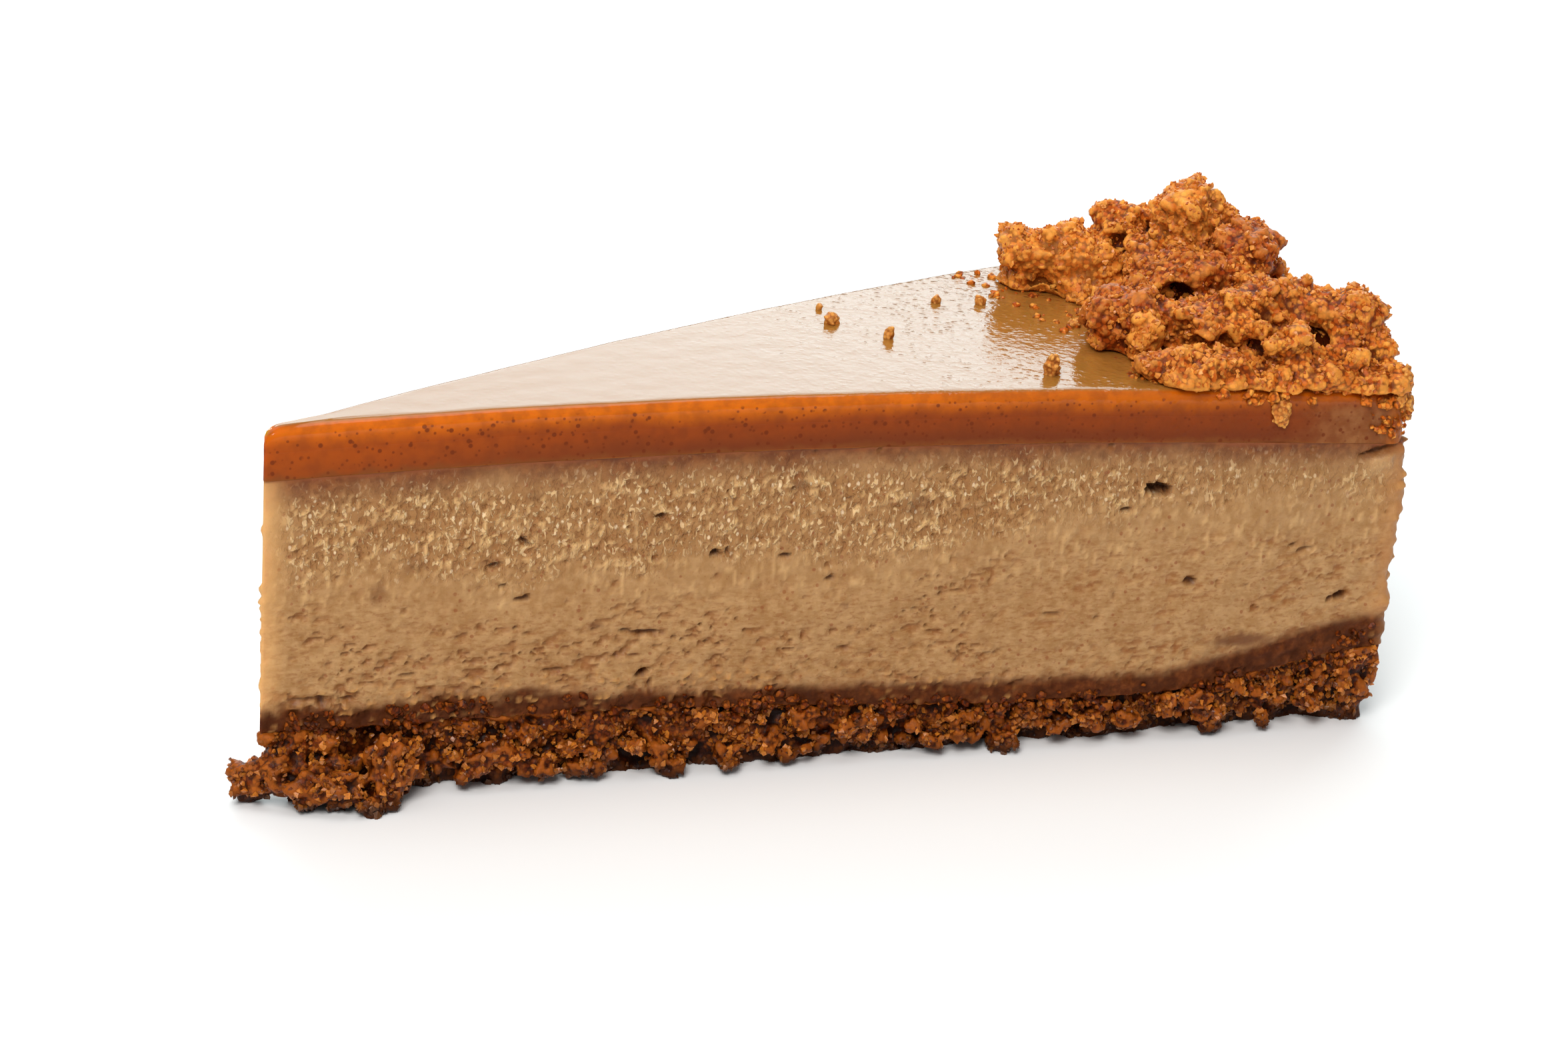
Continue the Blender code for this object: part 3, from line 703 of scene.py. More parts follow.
blotches = caramel.steps(caramel.noise(1.6 * MM, 3), 0.36, 0.68)
end_colour = caramel.mix(blotches, (0.18, 0.042, 0.009), (0.25, 0.072, 0.018))
end_part = caramel.times(caramel.value_of("rim"), caramel.steps(depth, 0.04, 0.3))
colour = caramel.painted(colour, end_colour, end_part, 0.7)
smeared = caramel.mix(blotches, (0.22, 0.066, 0.017), (0.31, 0.122, 0.040))
smear_part = caramel.times(caramel.value_of("end"), caramel.steps(depth, 0.1, 0.5))
colour = caramel.painted(colour, smeared, smear_part, 0.9)
# Painted glow at the rim's corner, for light passing through it.
colour = caramel.painted(colour, (0.42, 0.105, 0.009), caramel.value_of("corner"), 0.8)
bubbles = caramel.steps(caramel.cells(1.3 * MM), 0.24, 0.15)
bubbles = caramel.times(bubbles, caramel.steps(caramel.noise(2 * MM, 1), 0.42, 0.50))
tiny_bubbles = caramel.steps(caramel.cells(0.80 * MM), 0.25, 0.15)
bubbly_parts = caramel.steps(caramel.noise(3 * MM, 1), 0.36, 0.48, 0.0, 0.85)
tiny_bubbles = caramel.times(tiny_bubbles, bubbly_parts)
bubbles = caramel.math("MAXIMUM", bubbles, tiny_bubbles)
bubbles = caramel.times(bubbles, caramel.steps(depth, 0.10, 0.2))
colour = caramel.painted(colour, (0.14, 0.021, 0.0022), bubbles, 0.8)
far_share = caramel.steps(along, 0.30, 0.8, 0.15, 1.0)
ripples = caramel.times(caramel.noise(1.3 * MM, 3, None, 0.2), far_share)
dimples = caramel.steps(caramel.cells(0.95 * MM), 0.55, 0.0)
dimples = caramel.times(dimples, caramel.steps(caramel.noise(4 * MM, 2), 0.30, 0.56))
dimples = caramel.times(dimples, far_share)
normal = caramel.bump(ripples, 1.0, 0.13 * MM)
normal = caramel.bump(dimples, 1.0, 0.045 * MM, normal)
normal = caramel.bump(bubbles, -0.6, 0.15 * MM, normal)
inset = caramel.value_of("inset")
groove = caramel.times(caramel.steps(inset, 1.2, 1.75), caramel.steps(inset, 2.3, 1.75))
normal = caramel.bump(groove, -1.0, 0.10 * MM, normal)
caramel.set(Base_Color=colour, Normal=normal)
caramel.set(Roughness=caramel.steps(depth, 0.2, 0.6, 0.10, 0.32))
caramel.set(Specular_IOR_Level=caramel.steps(depth, 0.05, 0.3, 0.5, 0.09))
caramel.set(Subsurface_Weight=0.3, Subsurface_Scale=0.002)
caramel.surface.inputs["Subsurface Radius"].default_value = (1.0, 0.32, 0.08)
glaze.data.materials.append(caramel.material)
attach(glaze, "root")
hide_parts("caramel_glaze")

# The crumb base
# It is crushed biscuit pressed into the tin with butter and baked under the filling. The knife
# broke it open, so its sides are a wall of crumbs and dark pores, and pieces of it lie broken
# under the tip.

BASE_TIP_LOSS = 3.4 * MM
TIP_LOSS_REACH = 14 * MM
BASE_VOXEL = 0.27 * MM

# Broken pieces under the tip, in mm and degrees: x, y and height over the table of the middle,
# then length, width, height and turn.
TIP_PIECES = (
    (-63.8, 1.3, 3.2, 4.4, 3.4, 3.6, -30),
    (-63.7, 2.0, 1.0, 2.2, 2.2, 2.6, 0),
    (-60.6, -0.4, 3.9, 7.5, 4.4, 4.2, -31),
    (-57.6, -3.0, 3.0, 7.0, 4.2, 4.2, -31),
    (-55.0, -4.2, 2.0, 4.5, 3.4, 3.2, -20),
    (-59.4, 0.6, 5.2, 4.4, 3.6, 4.4, 0),
    (-58.3, -2.2, 0.9, 2.6, 2.4, 2.6, 30),
    (-50.2, -4.9, 5.4, 4.4, 4.2, 5.0, 50),
    (-50.9, -5.4, 2.4, 3.2, 3.0, 5.2, 0),
    (-52.6, -6.0, 0.9, 4.4, 2.4, 2.2, 15),
)


def lump(place, size, turn, rough, divisions=4, blocky=0.0):
    """The vertices and faces of an uneven lump of biscuit of this length, width and height."""
    turned = Matrix.Rotation(turn, 3, "Z")
    bm = bmesh.new()
    bmesh.ops.create_icosphere(bm, subdivisions=divisions, radius=1)
    verts = []
    for vert in bm.verts:
        unit = vert.co.copy()
        squared = unit / (abs(unit.x) ** 5 + abs(unit.y) ** 5 + abs(unit.z) ** 5) ** 0.2
        swell = 1 + rough * noise.noise(unit * 1.9 + place / MM * 0.613)
        unit = unit.lerp(squared * 0.93, blocky)
        swell += 0.13 * noise.noise(unit * 4.3 + place / MM) + 0.07 * noise.noise(unit * 9.0 + place / MM)
        verts.append(tuple(place + turned @ (unit * size) * (0.5 * swell)))
    faces = [[v.index for v in face.verts] for face in bm.faces]
    bm.free()
    return verts, faces


def crumb_size(draw, smallest, largest):
    """The length, width and height of a crumb drawn at random."""
    length = draw.uniform(smallest, largest)
    return Vector((length, length * draw.uniform(0.7, 1), length * draw.uniform(0.6, 0.9)))


def joined(name, parts):
    """One mesh of several lists of vertices and faces."""
    verts, faces = [], []
    for more_verts, more_faces in parts:
        first = len(verts)
        verts += [tuple(v) for v in more_verts]
        faces += [[first + i for i in face] for face in more_faces]
    mesh = bpy.data.meshes.new(name)
    mesh.from_pydata(verts, [], faces)
    return mesh


def lists_of(mesh):
    """The vertices and faces of a mesh as lists."""
    return [tuple(v.co) for v in mesh.vertices], [list(p.vertices) for p in mesh.polygons]


def scatter_tree():
    """Nodes that scatter copies of one small crumb over a surface, thicker in some patches."""
    tree = bpy.data.node_groups.new("scatter", "GeometryNodeTree")
    sockets = (
        ("Geometry", "NodeSocketGeometry"),
        ("Crumb", "NodeSocketObject"),
        ("Crumbs per square metre", "NodeSocketFloat"),
        ("Patch size", "NodeSocketFloat"),
        ("Bare share", "NodeSocketFloat"),
        ("Smallest", "NodeSocketFloat"),
        ("Largest", "NodeSocketFloat"),
        ("Seed", "NodeSocketInt"),
        ("Material", "NodeSocketMaterial"),
    )
    for name, kind in sockets:
        tree.interface.new_socket(name=name, in_out="INPUT", socket_type=kind)
    tree.interface.new_socket(name="Geometry", in_out="OUTPUT", socket_type="NodeSocketGeometry")
    nodes = Nodes(tree)
    given = nodes.node("NodeGroupInput").outputs
    seed = given["Seed"]

    where = nodes.node("GeometryNodeInputPosition").outputs[0]
    scale = nodes.node("ShaderNodeMath", {0: 1, 1: given["Patch size"]}, operation="DIVIDE").outputs[0]
    patches = nodes.node("ShaderNodeTexNoise", {"Vector": where, "Scale": scale, "Detail": 1})
    density = nodes.node("ShaderNodeMapRange", {
        "Value": patches.outputs["Fac"], "From Min": given["Bare share"], "From Max": 0.68,
        "To Max": given["Crumbs per square metre"]})
    points = nodes.node("GeometryNodeDistributePointsOnFaces", {
        "Mesh": given["Geometry"], "Density": density.outputs[0], "Seed": seed})

    length = nodes.node("FunctionNodeRandomValue", {2: given["Smallest"], 3: given["Largest"], "Seed": seed})
    turn = {1: (math.tau,) * 3, "Seed": seed}
    turn = nodes.node("FunctionNodeRandomValue", turn, data_type="FLOAT_VECTOR")
    shape = {0: (0.6,) * 3, 1: (1.2,) * 3, "Seed": seed}
    shape = nodes.node("FunctionNodeRandomValue", shape, data_type="FLOAT_VECTOR")
    size = {0: shape.outputs[0], "Scale": length.outputs[1]}
    size = nodes.node("ShaderNodeVectorMath", size, operation="SCALE")
    crumb = nodes.node("GeometryNodeObjectInfo", {"Object": given["Crumb"]})
    copies = nodes.node("GeometryNodeInstanceOnPoints", {
        "Points": points.outputs["Points"], "Instance": crumb.outputs["Geometry"],
        "Rotation": turn.outputs[0], "Scale": size.outputs[0]})

    tint = nodes.node("FunctionNodeRandomValue", {"Seed": seed}).outputs[1]
    noted = {"Geometry": copies.outputs["Instances"], "Name": "tint", "Value": tint}
    noted = nodes.node("GeometryNodeStoreNamedAttribute", noted, domain="INSTANCE")
    real = nodes.node("GeometryNodeRealizeInstances", {"Geometry": noted.outputs["Geometry"]})
    result = nodes.node("GeometryNodeSetMaterial", {
        "Geometry": real.outputs["Geometry"], "Material": given["Material"]})
    nodes.node("NodeGroupOutput", {"Geometry": result.outputs["Geometry"]})
    return tree


SCATTER = scatter_tree()


def broken_crumb(name, corners, seed):
    """A crumb with sharp corners and flat sides, a metre long, to be scattered at its real size."""
    draw = random.Random(seed)
    bm = bmesh.new()
    for _ in range(corners):
        way = Vector((draw.gauss(0, 1), draw.gauss(0, 1), draw.gauss(0, 1))).normalized()
        bm.verts.new(way * draw.uniform(0.38, 0.5))
    made = bmesh.ops.convex_hull(bm, input=bm.verts)
    unused = {vert for vert in made["geom_interior"] if isinstance(vert, bmesh.types.BMVert)}
    bmesh.ops.delete(bm, geom=list(unused), context="VERTS")
    bmesh.ops.recalc_face_normals(bm, faces=bm.faces)
    mesh = bpy.data.meshes.new(name)
    bm.to_mesh(mesh)
    bm.free()
    obj = bpy.data.objects.new(name, mesh)
    bpy.context.scene.collection.objects.link(obj)
    return obj


def scattered(name, ground, crumb, values):
    """A mesh of copies of the crumb scattered over the ground mesh."""
    host = bpy.data.objects.new(name, ground)
    bpy.context.scene.collection.objects.link(host)
    modifier = host.modifiers.new("scatter", "NODES")
    modifier.node_group = SCATTER
    values = {"Crumb": crumb, **values}
    for item in SCATTER.interface.items_tree:
        if item.in_out == "INPUT" and item.name in values:
            modifier[item.identifier] = values[item.name]
    bpy.context.view_layer.update()
    graph = bpy.context.evaluated_depsgraph_get()
    mesh = bpy.data.meshes.new_from_object(host.evaluated_get(graph))
    host.modifiers.clear()
    bpy.data.objects.remove(host)
    return mesh


def grown_together(name, mesh, voxel, flattening):
    """The mesh's parts as one closed skin, its faces about this big, larger where it is flat."""
    host = bpy.data.objects.new(name, mesh)
    bpy.context.scene.collection.objects.link(host)
    modifier = host.modifiers.new("skin", "REMESH")
    modifier.mode = "VOXEL"
    modifier.voxel_size = voxel
    modifier.adaptivity = flattening
    graph = bpy.context.evaluated_depsgraph_get()
    skin = bpy.data.meshes.new_from_object(host.evaluated_get(graph))
    host.modifiers.clear()
    bpy.data.objects.remove(host)
    return skin


def normals_of(mesh):
    flat = np.zeros(len(mesh.vertices) * 3, np.float32)
    mesh.vertex_normals.foreach_get("vector", flat)
    return flat.reshape(-1, 3).astype(float)


def hollows(mesh, rounds):
    """How deep each vertex lies in a hollow (above 0) or stands out (below 0), in metres."""
    ends = np.zeros(len(mesh.edges) * 2, np.int64)
    mesh.edges.foreach_get("vertices", ends)
    one, other = ends.reshape(-1, 2).T
    count = len(mesh.vertices)
    sharing = np.bincount(one, minlength=count) + np.bincount(other, minlength=count)
    sharing = np.maximum(sharing, 1)
    places = places_of(mesh)
    softened = places.copy()
    for _ in range(rounds):
        total = np.zeros_like(softened)
        for axis in range(3):
            total[:, axis] = np.bincount(one, softened[other, axis], count)
            total[:, axis] += np.bincount(other, softened[one, axis], count)
        softened = total / sharing[:, None]
    return ((softened - places) * normals_of(mesh)).sum(1)


def keep_largest(mesh):
    """Drops loose scraps and sealed hollows from a skin."""
    bm = bmesh.new()
    bm.from_mesh(mesh)
    unseen, bodies = set(bm.faces), []
    while unseen:
        body, reached = [], [unseen.pop()]
        while reached:
            face = reached.pop()
            body.append(face)
            for edge in face.edges:
                for other in edge.link_faces:
                    if other in unseen:
                        unseen.remove(other)
                        reached.append(other)
        bodies.append(body)
    bodies.sort(key=len)
    spare = [face for body in bodies[:-1] for face in body]
    bmesh.ops.delete(bm, geom=spare, context="FACES")
    bm.to_mesh(mesh)
    bm.free()


def bared(name, mesh, is_hidden):
    """The mesh without its hidden faces, for grains to be scattered over."""
    bm = bmesh.new()
    bm.from_mesh(mesh)
    hidden = [face for face in bm.faces if is_hidden(face)]
    bmesh.ops.delete(bm, geom=hidden, context="FACES")
    rest = bpy.data.meshes.new(name)
    bm.to_mesh(rest)
    bm.free()
    return rest


def base_levels(ring, outward):
    """The wall of the base, set back so that crumbs can stand out of it."""
    rows = []
    for share in np.linspace(0, 1, 24):
        high = base_height(*ring.T) * share
        flat = np.column_stack([ring, high]) / MM
        hollow_foot = 0.5 + 1.2 * smooth(0.5 + 1.2 * bumps(flat * (1, 1, 0), 9.0, 47))
        undercut = hollow_foot * smooth((0.6 - share) / 0.4)
        out = 1.3 * bumps(flat, 5.0, 41) + 0.9 * bumps(flat, 1.7, 42) - undercut - 1.6
        out += (0.5 + 0.9 * bumps(flat, 2.2, 54)) * smooth((share - 0.9) / 0.1)
        out += 1.2 * smooth((from_apex(*ring.T) / MM - 126) / 4)
        room = 0.6 * np.abs(ring[:, 1])
        place = ring + outward * np.maximum(out * MM, -room)[:, None]
        loss = BASE_TIP_LOSS * smooth((1.05 - share) / 0.45)
        place[:, 0] += loss * (1 - smooth((ring[:, 0] - APEX_X) / TIP_LOSS_REACH))
        rows.append(np.column_stack([place, high]))
    return np.array(rows)


core = grid_layer("base_core", 0.5 * MM, base_levels)
core_mesh = core.data
bpy.data.objects.remove(core)
draw = random.Random(3)
outline_points, outline_normals = near_outline(0.5 * MM)
parts = [lists_of(core_mesh)]
for x, y, high, length, width, tall, turn in TIP_PIECES:
    place = Vector((x, y, high)) * MM
    parts.append(lump(place, Vector((length, width, tall)) * MM, math.radians(turn), 0.8, 4, 0.4))
for _ in range(110):
    pick = draw.randrange(len(outline_points))
    side = draw.choice((1, -1))
    size = crumb_size(draw, 1.3 * MM, 3.4 * MM)
    share = draw.uniform(0.14, 0.86)
    undercut = 0.6 * MM * max(0.0, 1 - 1.8 * share)
    out = outline_points[pick] + outline_normals[pick] * (-0.12 * size.x - 0.6 * undercut)
    place = Vector((out[0], side * out[1], share * float(base_height(*outline_points[pick]))))
    parts.append(lump(place, size, draw.uniform(0, math.pi), 0.9, 3, 0.5))
more = random.Random(8)
for _ in range(120):
    pick = more.randrange(len(outline_points))
    size = crumb_size(more, 1.1 * MM, 2.6 * MM)
    share = more.uniform(0.3, 0.95)
    out = outline_points[pick] - outline_normals[pick] * more.uniform(0.0, 0.6) * size.x
    place = Vector((out[0], more.choice((1, -1)) * out[1], share * float(base_height(*outline_points[pick]))))
    parts.append(lump(place, size, more.uniform(0, math.pi), 0.9, 3, 0.5))
body = joined("base_body", parts)

wall = bpy.data.meshes.new("base_wall")
ring = both_halves(outline_points)
outward = both_halves(outline_normals)
tiers = []
for share in np.linspace(0.18, 0.96, 12):
    high = base_height(*ring.T) * share
    foot = np.column_stack([ring, 0 * ring[:, 0]]) / MM
    foot = 0.4 + 1.0 * smooth(0.5 + 1.2 * bumps(foot, 9.0, 47))
    rim_share = smooth((from_apex(*ring.T) / MM - 126) / 4)
    out = 0.9 * rim_share - 1.1 - foot * smooth((0.6 - share) / 0.4)
    out = np.maximum(out, -0.6 * np.abs(ring[:, 1]) / MM)
    place = ring + outward * (out * MM)[:, None]
    place[:, 0] += BASE_TIP_LOSS * (1 - smooth((ring[:, 0] - APEX_X) / TIP_LOSS_REACH))
    tiers.append(np.column_stack([place, high]))
wall.from_pydata(np.concatenate(tiers).tolist(), [], wall_faces(len(tiers), len(ring)))
pebble = broken_crumb("pebble", 22, 1)
fine_crumbs = scattered("base_crumbs", wall, pebble, {
    "Crumbs per square metre": 1.1e6, "Smallest": 0.7 * MM, "Largest": 2.1 * MM,
    "Patch size": 4.0 * MM, "Bare share": 0.42, "Seed": 5})
body = joined("base_body", [lists_of(body), lists_of(fine_crumbs)])
places = places_of(body)
places[:, 2] = np.clip(places[:, 2], 0, base_height(places[:, 0], places[:, 1]))
body.vertices.foreach_set("co", places.ravel())
base_mesh = grown_together("base", body, BASE_VOXEL, 0.13)
keep_largest(base_mesh)
places = places_of(base_mesh)
inner = smooth((places[:, 2] / MM - 0.25) / 0.3)
inner *= smooth((base_height(places[:, 0], places[:, 1]) - places[:, 2]) / MM / 0.3)
away, _ = specks(places / MM, 0.62, 43)
grain = 0.16 * (0.6 - away) + 0.06 * bumps(places / MM, 0.42, 44)
places += normals_of(base_mesh) * (grain * inner * MM)[:, None]
places[:, 2] = np.clip(places[:, 2], 0, base_height(places[:, 0], places[:, 1]))
base_mesh.vertices.foreach_set("co", places.ravel())
# How deep each place lies, which the material turns into painted shade in hollows and painted highlight where
# it stands out.
note_values(base_mesh, "hollow", hollows(base_mesh, 14) / (0.35 * MM))
note_values(base_mesh, "recess", hollows(base_mesh, 60) / (1.1 * MM))
base = shown("base", base_mesh)


def painted_foot_shade(shader, colour, painted_shade_colour):
    """The colour, darker in the lowest two millimetres of the base, as a painted shade under its foot."""
    high = shader.node("ShaderNodeSeparateXYZ", {"Vector": shader.place}).outputs["Z"]
    return shader.mix(shader.steps(high, 2.6 * MM, 0.5 * MM, 0.0, 0.85), colour, painted_shade_colour)


def biscuit(name, dark, middle, bright, painted_shade_colour, grain_size):
    """Baked biscuit: rounded grains of toasted colours, glistening with butter. Between the grains,
    in hollows and at the foot it has painted shade, and where crumbs stand out painted highlight.
    """
    shader = Shader(name)
    patches = shader.steps(shader.noise(3.2 * MM, 2), 0.36, 0.64)
    colour = shader.mix(patches, dark, middle)
    bent = shader.node("ShaderNodeTexNoise", {"Vector": shader.place, "Scale": 0.8 / grain_size})
    bent = {0: bent.outputs["Color"], "Scale": 0.9 * grain_size}
    bent = shader.node("ShaderNodeVectorMath", bent, operation="SCALE")
    moved = shader.node("ShaderNodeVectorMath", {0: shader.place, 1: bent.outputs[0]}, operation="ADD")
    grains = shader.node("ShaderNodeTexVoronoi", {"Vector": moved.outputs[0], "Scale": 1 / grain_size})
    each = shader.node("ShaderNodeSeparateColor", {"Color": grains.outputs["Color"]}).outputs[0]
    colour = shader.mix(shader.steps(each, 0.35, 1.0, 0.0, 0.75), colour, bright)
    # Painted shade between the grains, in the small hollows and in the deeper recesses.
    painted_grain_gap_shade = shader.steps(grains.outputs["Distance"], 0.35, 0.75)
    colour = shader.painted(colour, painted_shade_colour, painted_grain_gap_shade, 0.75)
    hollow = shader.steps(shader.value_of("hollow"), 0.05, 0.75)
    colour = shader.painted(colour, painted_shade_colour, hollow, 0.85)
    recess = shader.steps(shader.value_of("recess"), 0.05, 0.8)
    colour = shader.painted(colour, painted_shade_colour, recess, 0.9)
    # Painted highlight where the crumbs stand out.
    painted_highlight_on_tops = shader.steps(shader.value_of("hollow"), -0.1, -0.8)
    colour = shader.painted(colour, bright, painted_highlight_on_tops, 0.6)
    domes = shader.times(grains.outputs["Distance"], grains.outputs["Distance"])
    normal = shader.bump(domes, -1.0, 0.75 * grain_size)
    normal = shader.bump(shader.noise(0.4 * grain_size, 3), 0.6, 0.16 * grain_size, normal)
    colour = painted_foot_shade(shader, colour, painted_shade_colour)
    shader.set(Base_Color=colour, Normal=normal)
    shader.set(Roughness=shader.steps(each, 0.0, 1.0, 0.32, 0.58))
    shader.set(Subsurface_Weight=0.15, Subsurface_Scale=0.0008, Specular_IOR_Level=0.12)
    shader.surface.inputs["Subsurface Radius"].default_value = (1.0, 0.5, 0.2)
    return shader


base_biscuit = biscuit("biscuit_base", (0.075, 0.011, 0.0007), (0.170, 0.028, 0.0020),
                       (0.40, 0.100, 0.009), (0.010, 0.0015, 0.0002), 0.50 * MM)
base_biscuit.put_on(base)
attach(base, "root")
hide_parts("crumb_base")

# Loose grains on the base
# They are single grains of biscuit and sugar, under half a millimetre across, that cling to its
# broken sides with butter.

grit = broken_crumb("grit", 9, 2)


def loose_shader(name, dark, bright):
    """Single grains, each with a tint of its own."""
    shader = Shader(name)
    colour = shader.mix(shader.math("POWER", shader.value_of("tint"), 1.8), dark, bright)
    uneven = shader.noise(0.2 * MM, 2)
    colour = shader.mix(shader.steps(uneven, 0.3, 0.7, 0.0, 0.3), colour, dark)
    # Painted shade at the foot of the base, as on the base itself.
    colour = painted_foot_shade(shader, colour, tuple(0.1 * part for part in dark))
    shader.set(Base_Color=colour, Normal=shader.bump(uneven, 0.4, 0.05 * MM))
    shader.set(Roughness=shader.steps(uneven, 0.3, 0.7, 0.25, 0.5), Subsurface_Weight=0.2)
    shader.set(Subsurface_Scale=0.0005, Specular_IOR_Level=0.35)
    return shader


def on_table_or_under_filling(face):
    middle = face.calc_center_median()
    top = float(base_height(*middle.xy))
    return abs(face.normal.z) > 0.9 and (middle.z < 0.3 * MM or middle.z > top - 0.5 * MM)


base_loose = loose_shader("loose_biscuit", (0.085, 0.012, 0.0008), (0.66, 0.21, 0.022))
side_mesh = bared("base_sides", base_mesh, on_table_or_under_filling)
grains_mesh = scattered("base_grains", side_mesh, grit, {
    "Crumbs per square metre": 4.4e6, "Smallest": 0.35 * MM, "Largest": 1.05 * MM,
    "Patch size": 2.5 * MM, "Bare share": 0.38, "Seed": 7, "Material": base_loose.material})
base_grains = shown("base_grains", grains_mesh, False)
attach(base_grains, "root")

# The heap of biscuit crumble
# It is a ring of baked butter crumble, spooned on the glaze along the rim before the cake was
# cut. Bigger lumps lie on a packed bed of crumbs, and all of it is made of grains.

HEAP_INNER = 102 * MM
HEAP_OUTER = 130.4 * MM
HEAP_HALF_ANGLE = HALF_ANGLE - math.radians(0.5)
HEAP_VOXEL = 0.25 * MM

# Lumps of crumble, in mm and degrees: x and y of the middle, its height over the glaze, then
# length, width, height and turn, and how red-brown the lump is baked, up to 1, or pale, below 0.
# The lump at 48.9, -4.0 is given a higher value as a painted shade under the heap's top.
HEAP_LUMPS = (
    (44.0, 12.9, 3.5, 15.0, 9.0, 8.0, -31, -0.2),
    (41.6, 16.2, 1.2, 6.0, 5.0, 3.6, 0, 0.2),
    (52.0, 12.2, 7.0, 7.5, 7.0, 7.0, 20, 0.1),
    (55.0, 3.1, 11.6, 9.0, 8.0, 8.0, 10, -0.18),
    (57.3, -4.6, 9.2, 8.8, 7.8, 7.8, 35, 1.0),
    (54.6, 3.4, 6.6, 10.0, 9.0, 8.0, 40, 0.1),
    (48.9, -4.0, 5.6, 13.0, 9.0, 8.5, -31, 0.7),
    (38.8, -8.2, 3.2, 9.5, 7.5, 7.5, -31, 0.9),
    (38.4, -12.9, 2.3, 3.9, 3.5, 6.8, 0, -0.3),
    (46.0, -12.6, 3.4, 10.0, 8.0, 7.0, -31, 0.4),
    (53.6, -14.8, 4.8, 11.0, 9.0, 9.0, -20, 0.5),
    (60.2, -20.0, 5.0, 9.5, 8.5, 9.0, -60, 0.45),
    (62.0, -11.0, 3.6, 8.0, 7.5, 7.0, -60, 0.3),
    (42.4, -21.4, 1.6, 8.0, 5.0, 4.0, -13, 0.35),
    (53.0, -22.6, 1.8, 8.5, 6.0, 4.5, -13, 0.45),
    (62.2, -26.6, 0.6, 4.2, 3.6, 6.0, 0, 0.3),
    (61.8, 5.0, 5.0, 9.0, 8.0, 8.0, 80, 0.3),
    (59.5, 14.5, 2.6, 10.0, 9.0, 6.0, 70, 0.3),
    (51.5, 21.8, 1.4, 8.0, 6.0, 4.0, 25, 0.2),
    (39.9, 20.6, 0.3, 2.6, 2.2, 1.8, 0, 0.1),
)


def mound_height(x, y):
    """How high the crumble is packed on the glaze between its big lumps."""
    along = np.arctan2(y, x - APEX_X) / HALF_ANGLE
    middle = (6.2 - 3.8) * MM * smooth(1 - np.abs(along) / 0.6)
    ridge = 3.8 * MM + middle - (3.8 - 2.0) * MM * smooth((along - 0.2) / 0.5)
    across = (from_apex(x, y) - HEAP_INNER) / (HEAP_OUTER - HEAP_INNER)
    slopes = smooth(across / 0.45) * (1 - 0.25 * smooth((across - 0.6) / 0.4))
    return ridge * slopes * smooth((1.04 - np.abs(along)) / 0.14)


def slab(columns, rows, corner_at):
    """The vertices and faces of a closed slab from a function of the grid's two shares."""
    lower, upper = [], []
    for i in range(rows + 1):
        for j in range(columns + 1):
            x, y, low, high = corner_at(i / rows, j / columns)
            lower.append((x, y, low))
            upper.append((x, y, high))
    verts = lower + upper
    shift, width = len(lower), columns + 1
    faces = []
    for i in range(rows):
        for j in range(columns):
            a, b, c, d = i * width + j, (i + 1) * width + j, (i + 1) * width + j + 1, i * width + j + 1
            faces += [(d, c, b, a), (a + shift, b + shift, c + shift, d + shift)]
    border = [(i * width, (i + 1) * width) for i in range(rows)]
    border += [((i + 1) * width + columns, i * width + columns) for i in range(rows)]
    border += [(j + 1, j) for j in range(columns)]
    border += [(rows * width + j, rows * width + j + 1) for j in range(columns)]
    faces += [(a, b, b + shift, a + shift) for a, b in border]
    return verts, faces


def mound_corner(row, column):
    radius = HEAP_INNER + (HEAP_OUTER - HEAP_INNER) * row
    x, y = on_ring(radius, HEAP_HALF_ANGLE * (2 * column - 1))
    uneven = 1 + 0.35 * noise.noise(Vector((x, y, 0)) / MM * 0.3)
    glaze_top = float(top_height(x, y))
    edge = min(row, 1 - row, column, 1 - column)
    finer = 0.5 * MM * noise.noise(Vector((x, y, 0)) / MM * 0.55 + Vector((9, 0, 0)))
    mound = float(mound_height(x, y)) * uneven + finer
    return x, y, glaze_top - MM, glaze_top - 0.8 * MM + 0.62 * max(mound, 0.0) * (edge > 0)


def over_glaze(x, y, rise):
    return Vector((x, y, float(top_height(x, y)) + rise))


def raise_from_glaze(mesh):
    """Lifts what lies lower than the glaze onto it."""
    places = places_of(mesh)
    places[:, 2] = np.maximum(places[:, 2], top_height(places[:, 0], places[:, 1]) + CONTACT)
    mesh.vertices.foreach_set("co", places.ravel())


# Gaps between lumps, in mm: x, y and height over the glaze, then how far they reach and how deep.
HEAP_GAPS = (
    (45.0, -8.6, 4.4, 3.6, 2.6),
    (46.8, -6.4, 4.4, 2.8, 2.0),
    (55.5, -6.6, 6.6, 2.6, 1.4),
    (59.5, -8.0, 5.8, 2.4, 1.2),
    (44.5, 4.6, 4.6, 3.0, 1.8),
    (39.8, 10.4, 0.8, 3.0, 1.3),
    (55.6, -20.4, 3.2, 2.8, 1.8),
    (42.6, -16.8, 2.4, 2.2, 1.2),
    (58.0, -15.5, 3.8, 2.4, 1.4),
    (50.0, 9.5, 5.6, 2.6, 1.4),
)


def in_a_gap(place):
    """Whether a crumb here would close one of the gaps."""
    return any(
        (place - over_glaze(gap[0] * MM, gap[1] * MM, gap[2] * MM)).length < 0.8 * gap[3] * MM
        for gap in HEAP_GAPS)


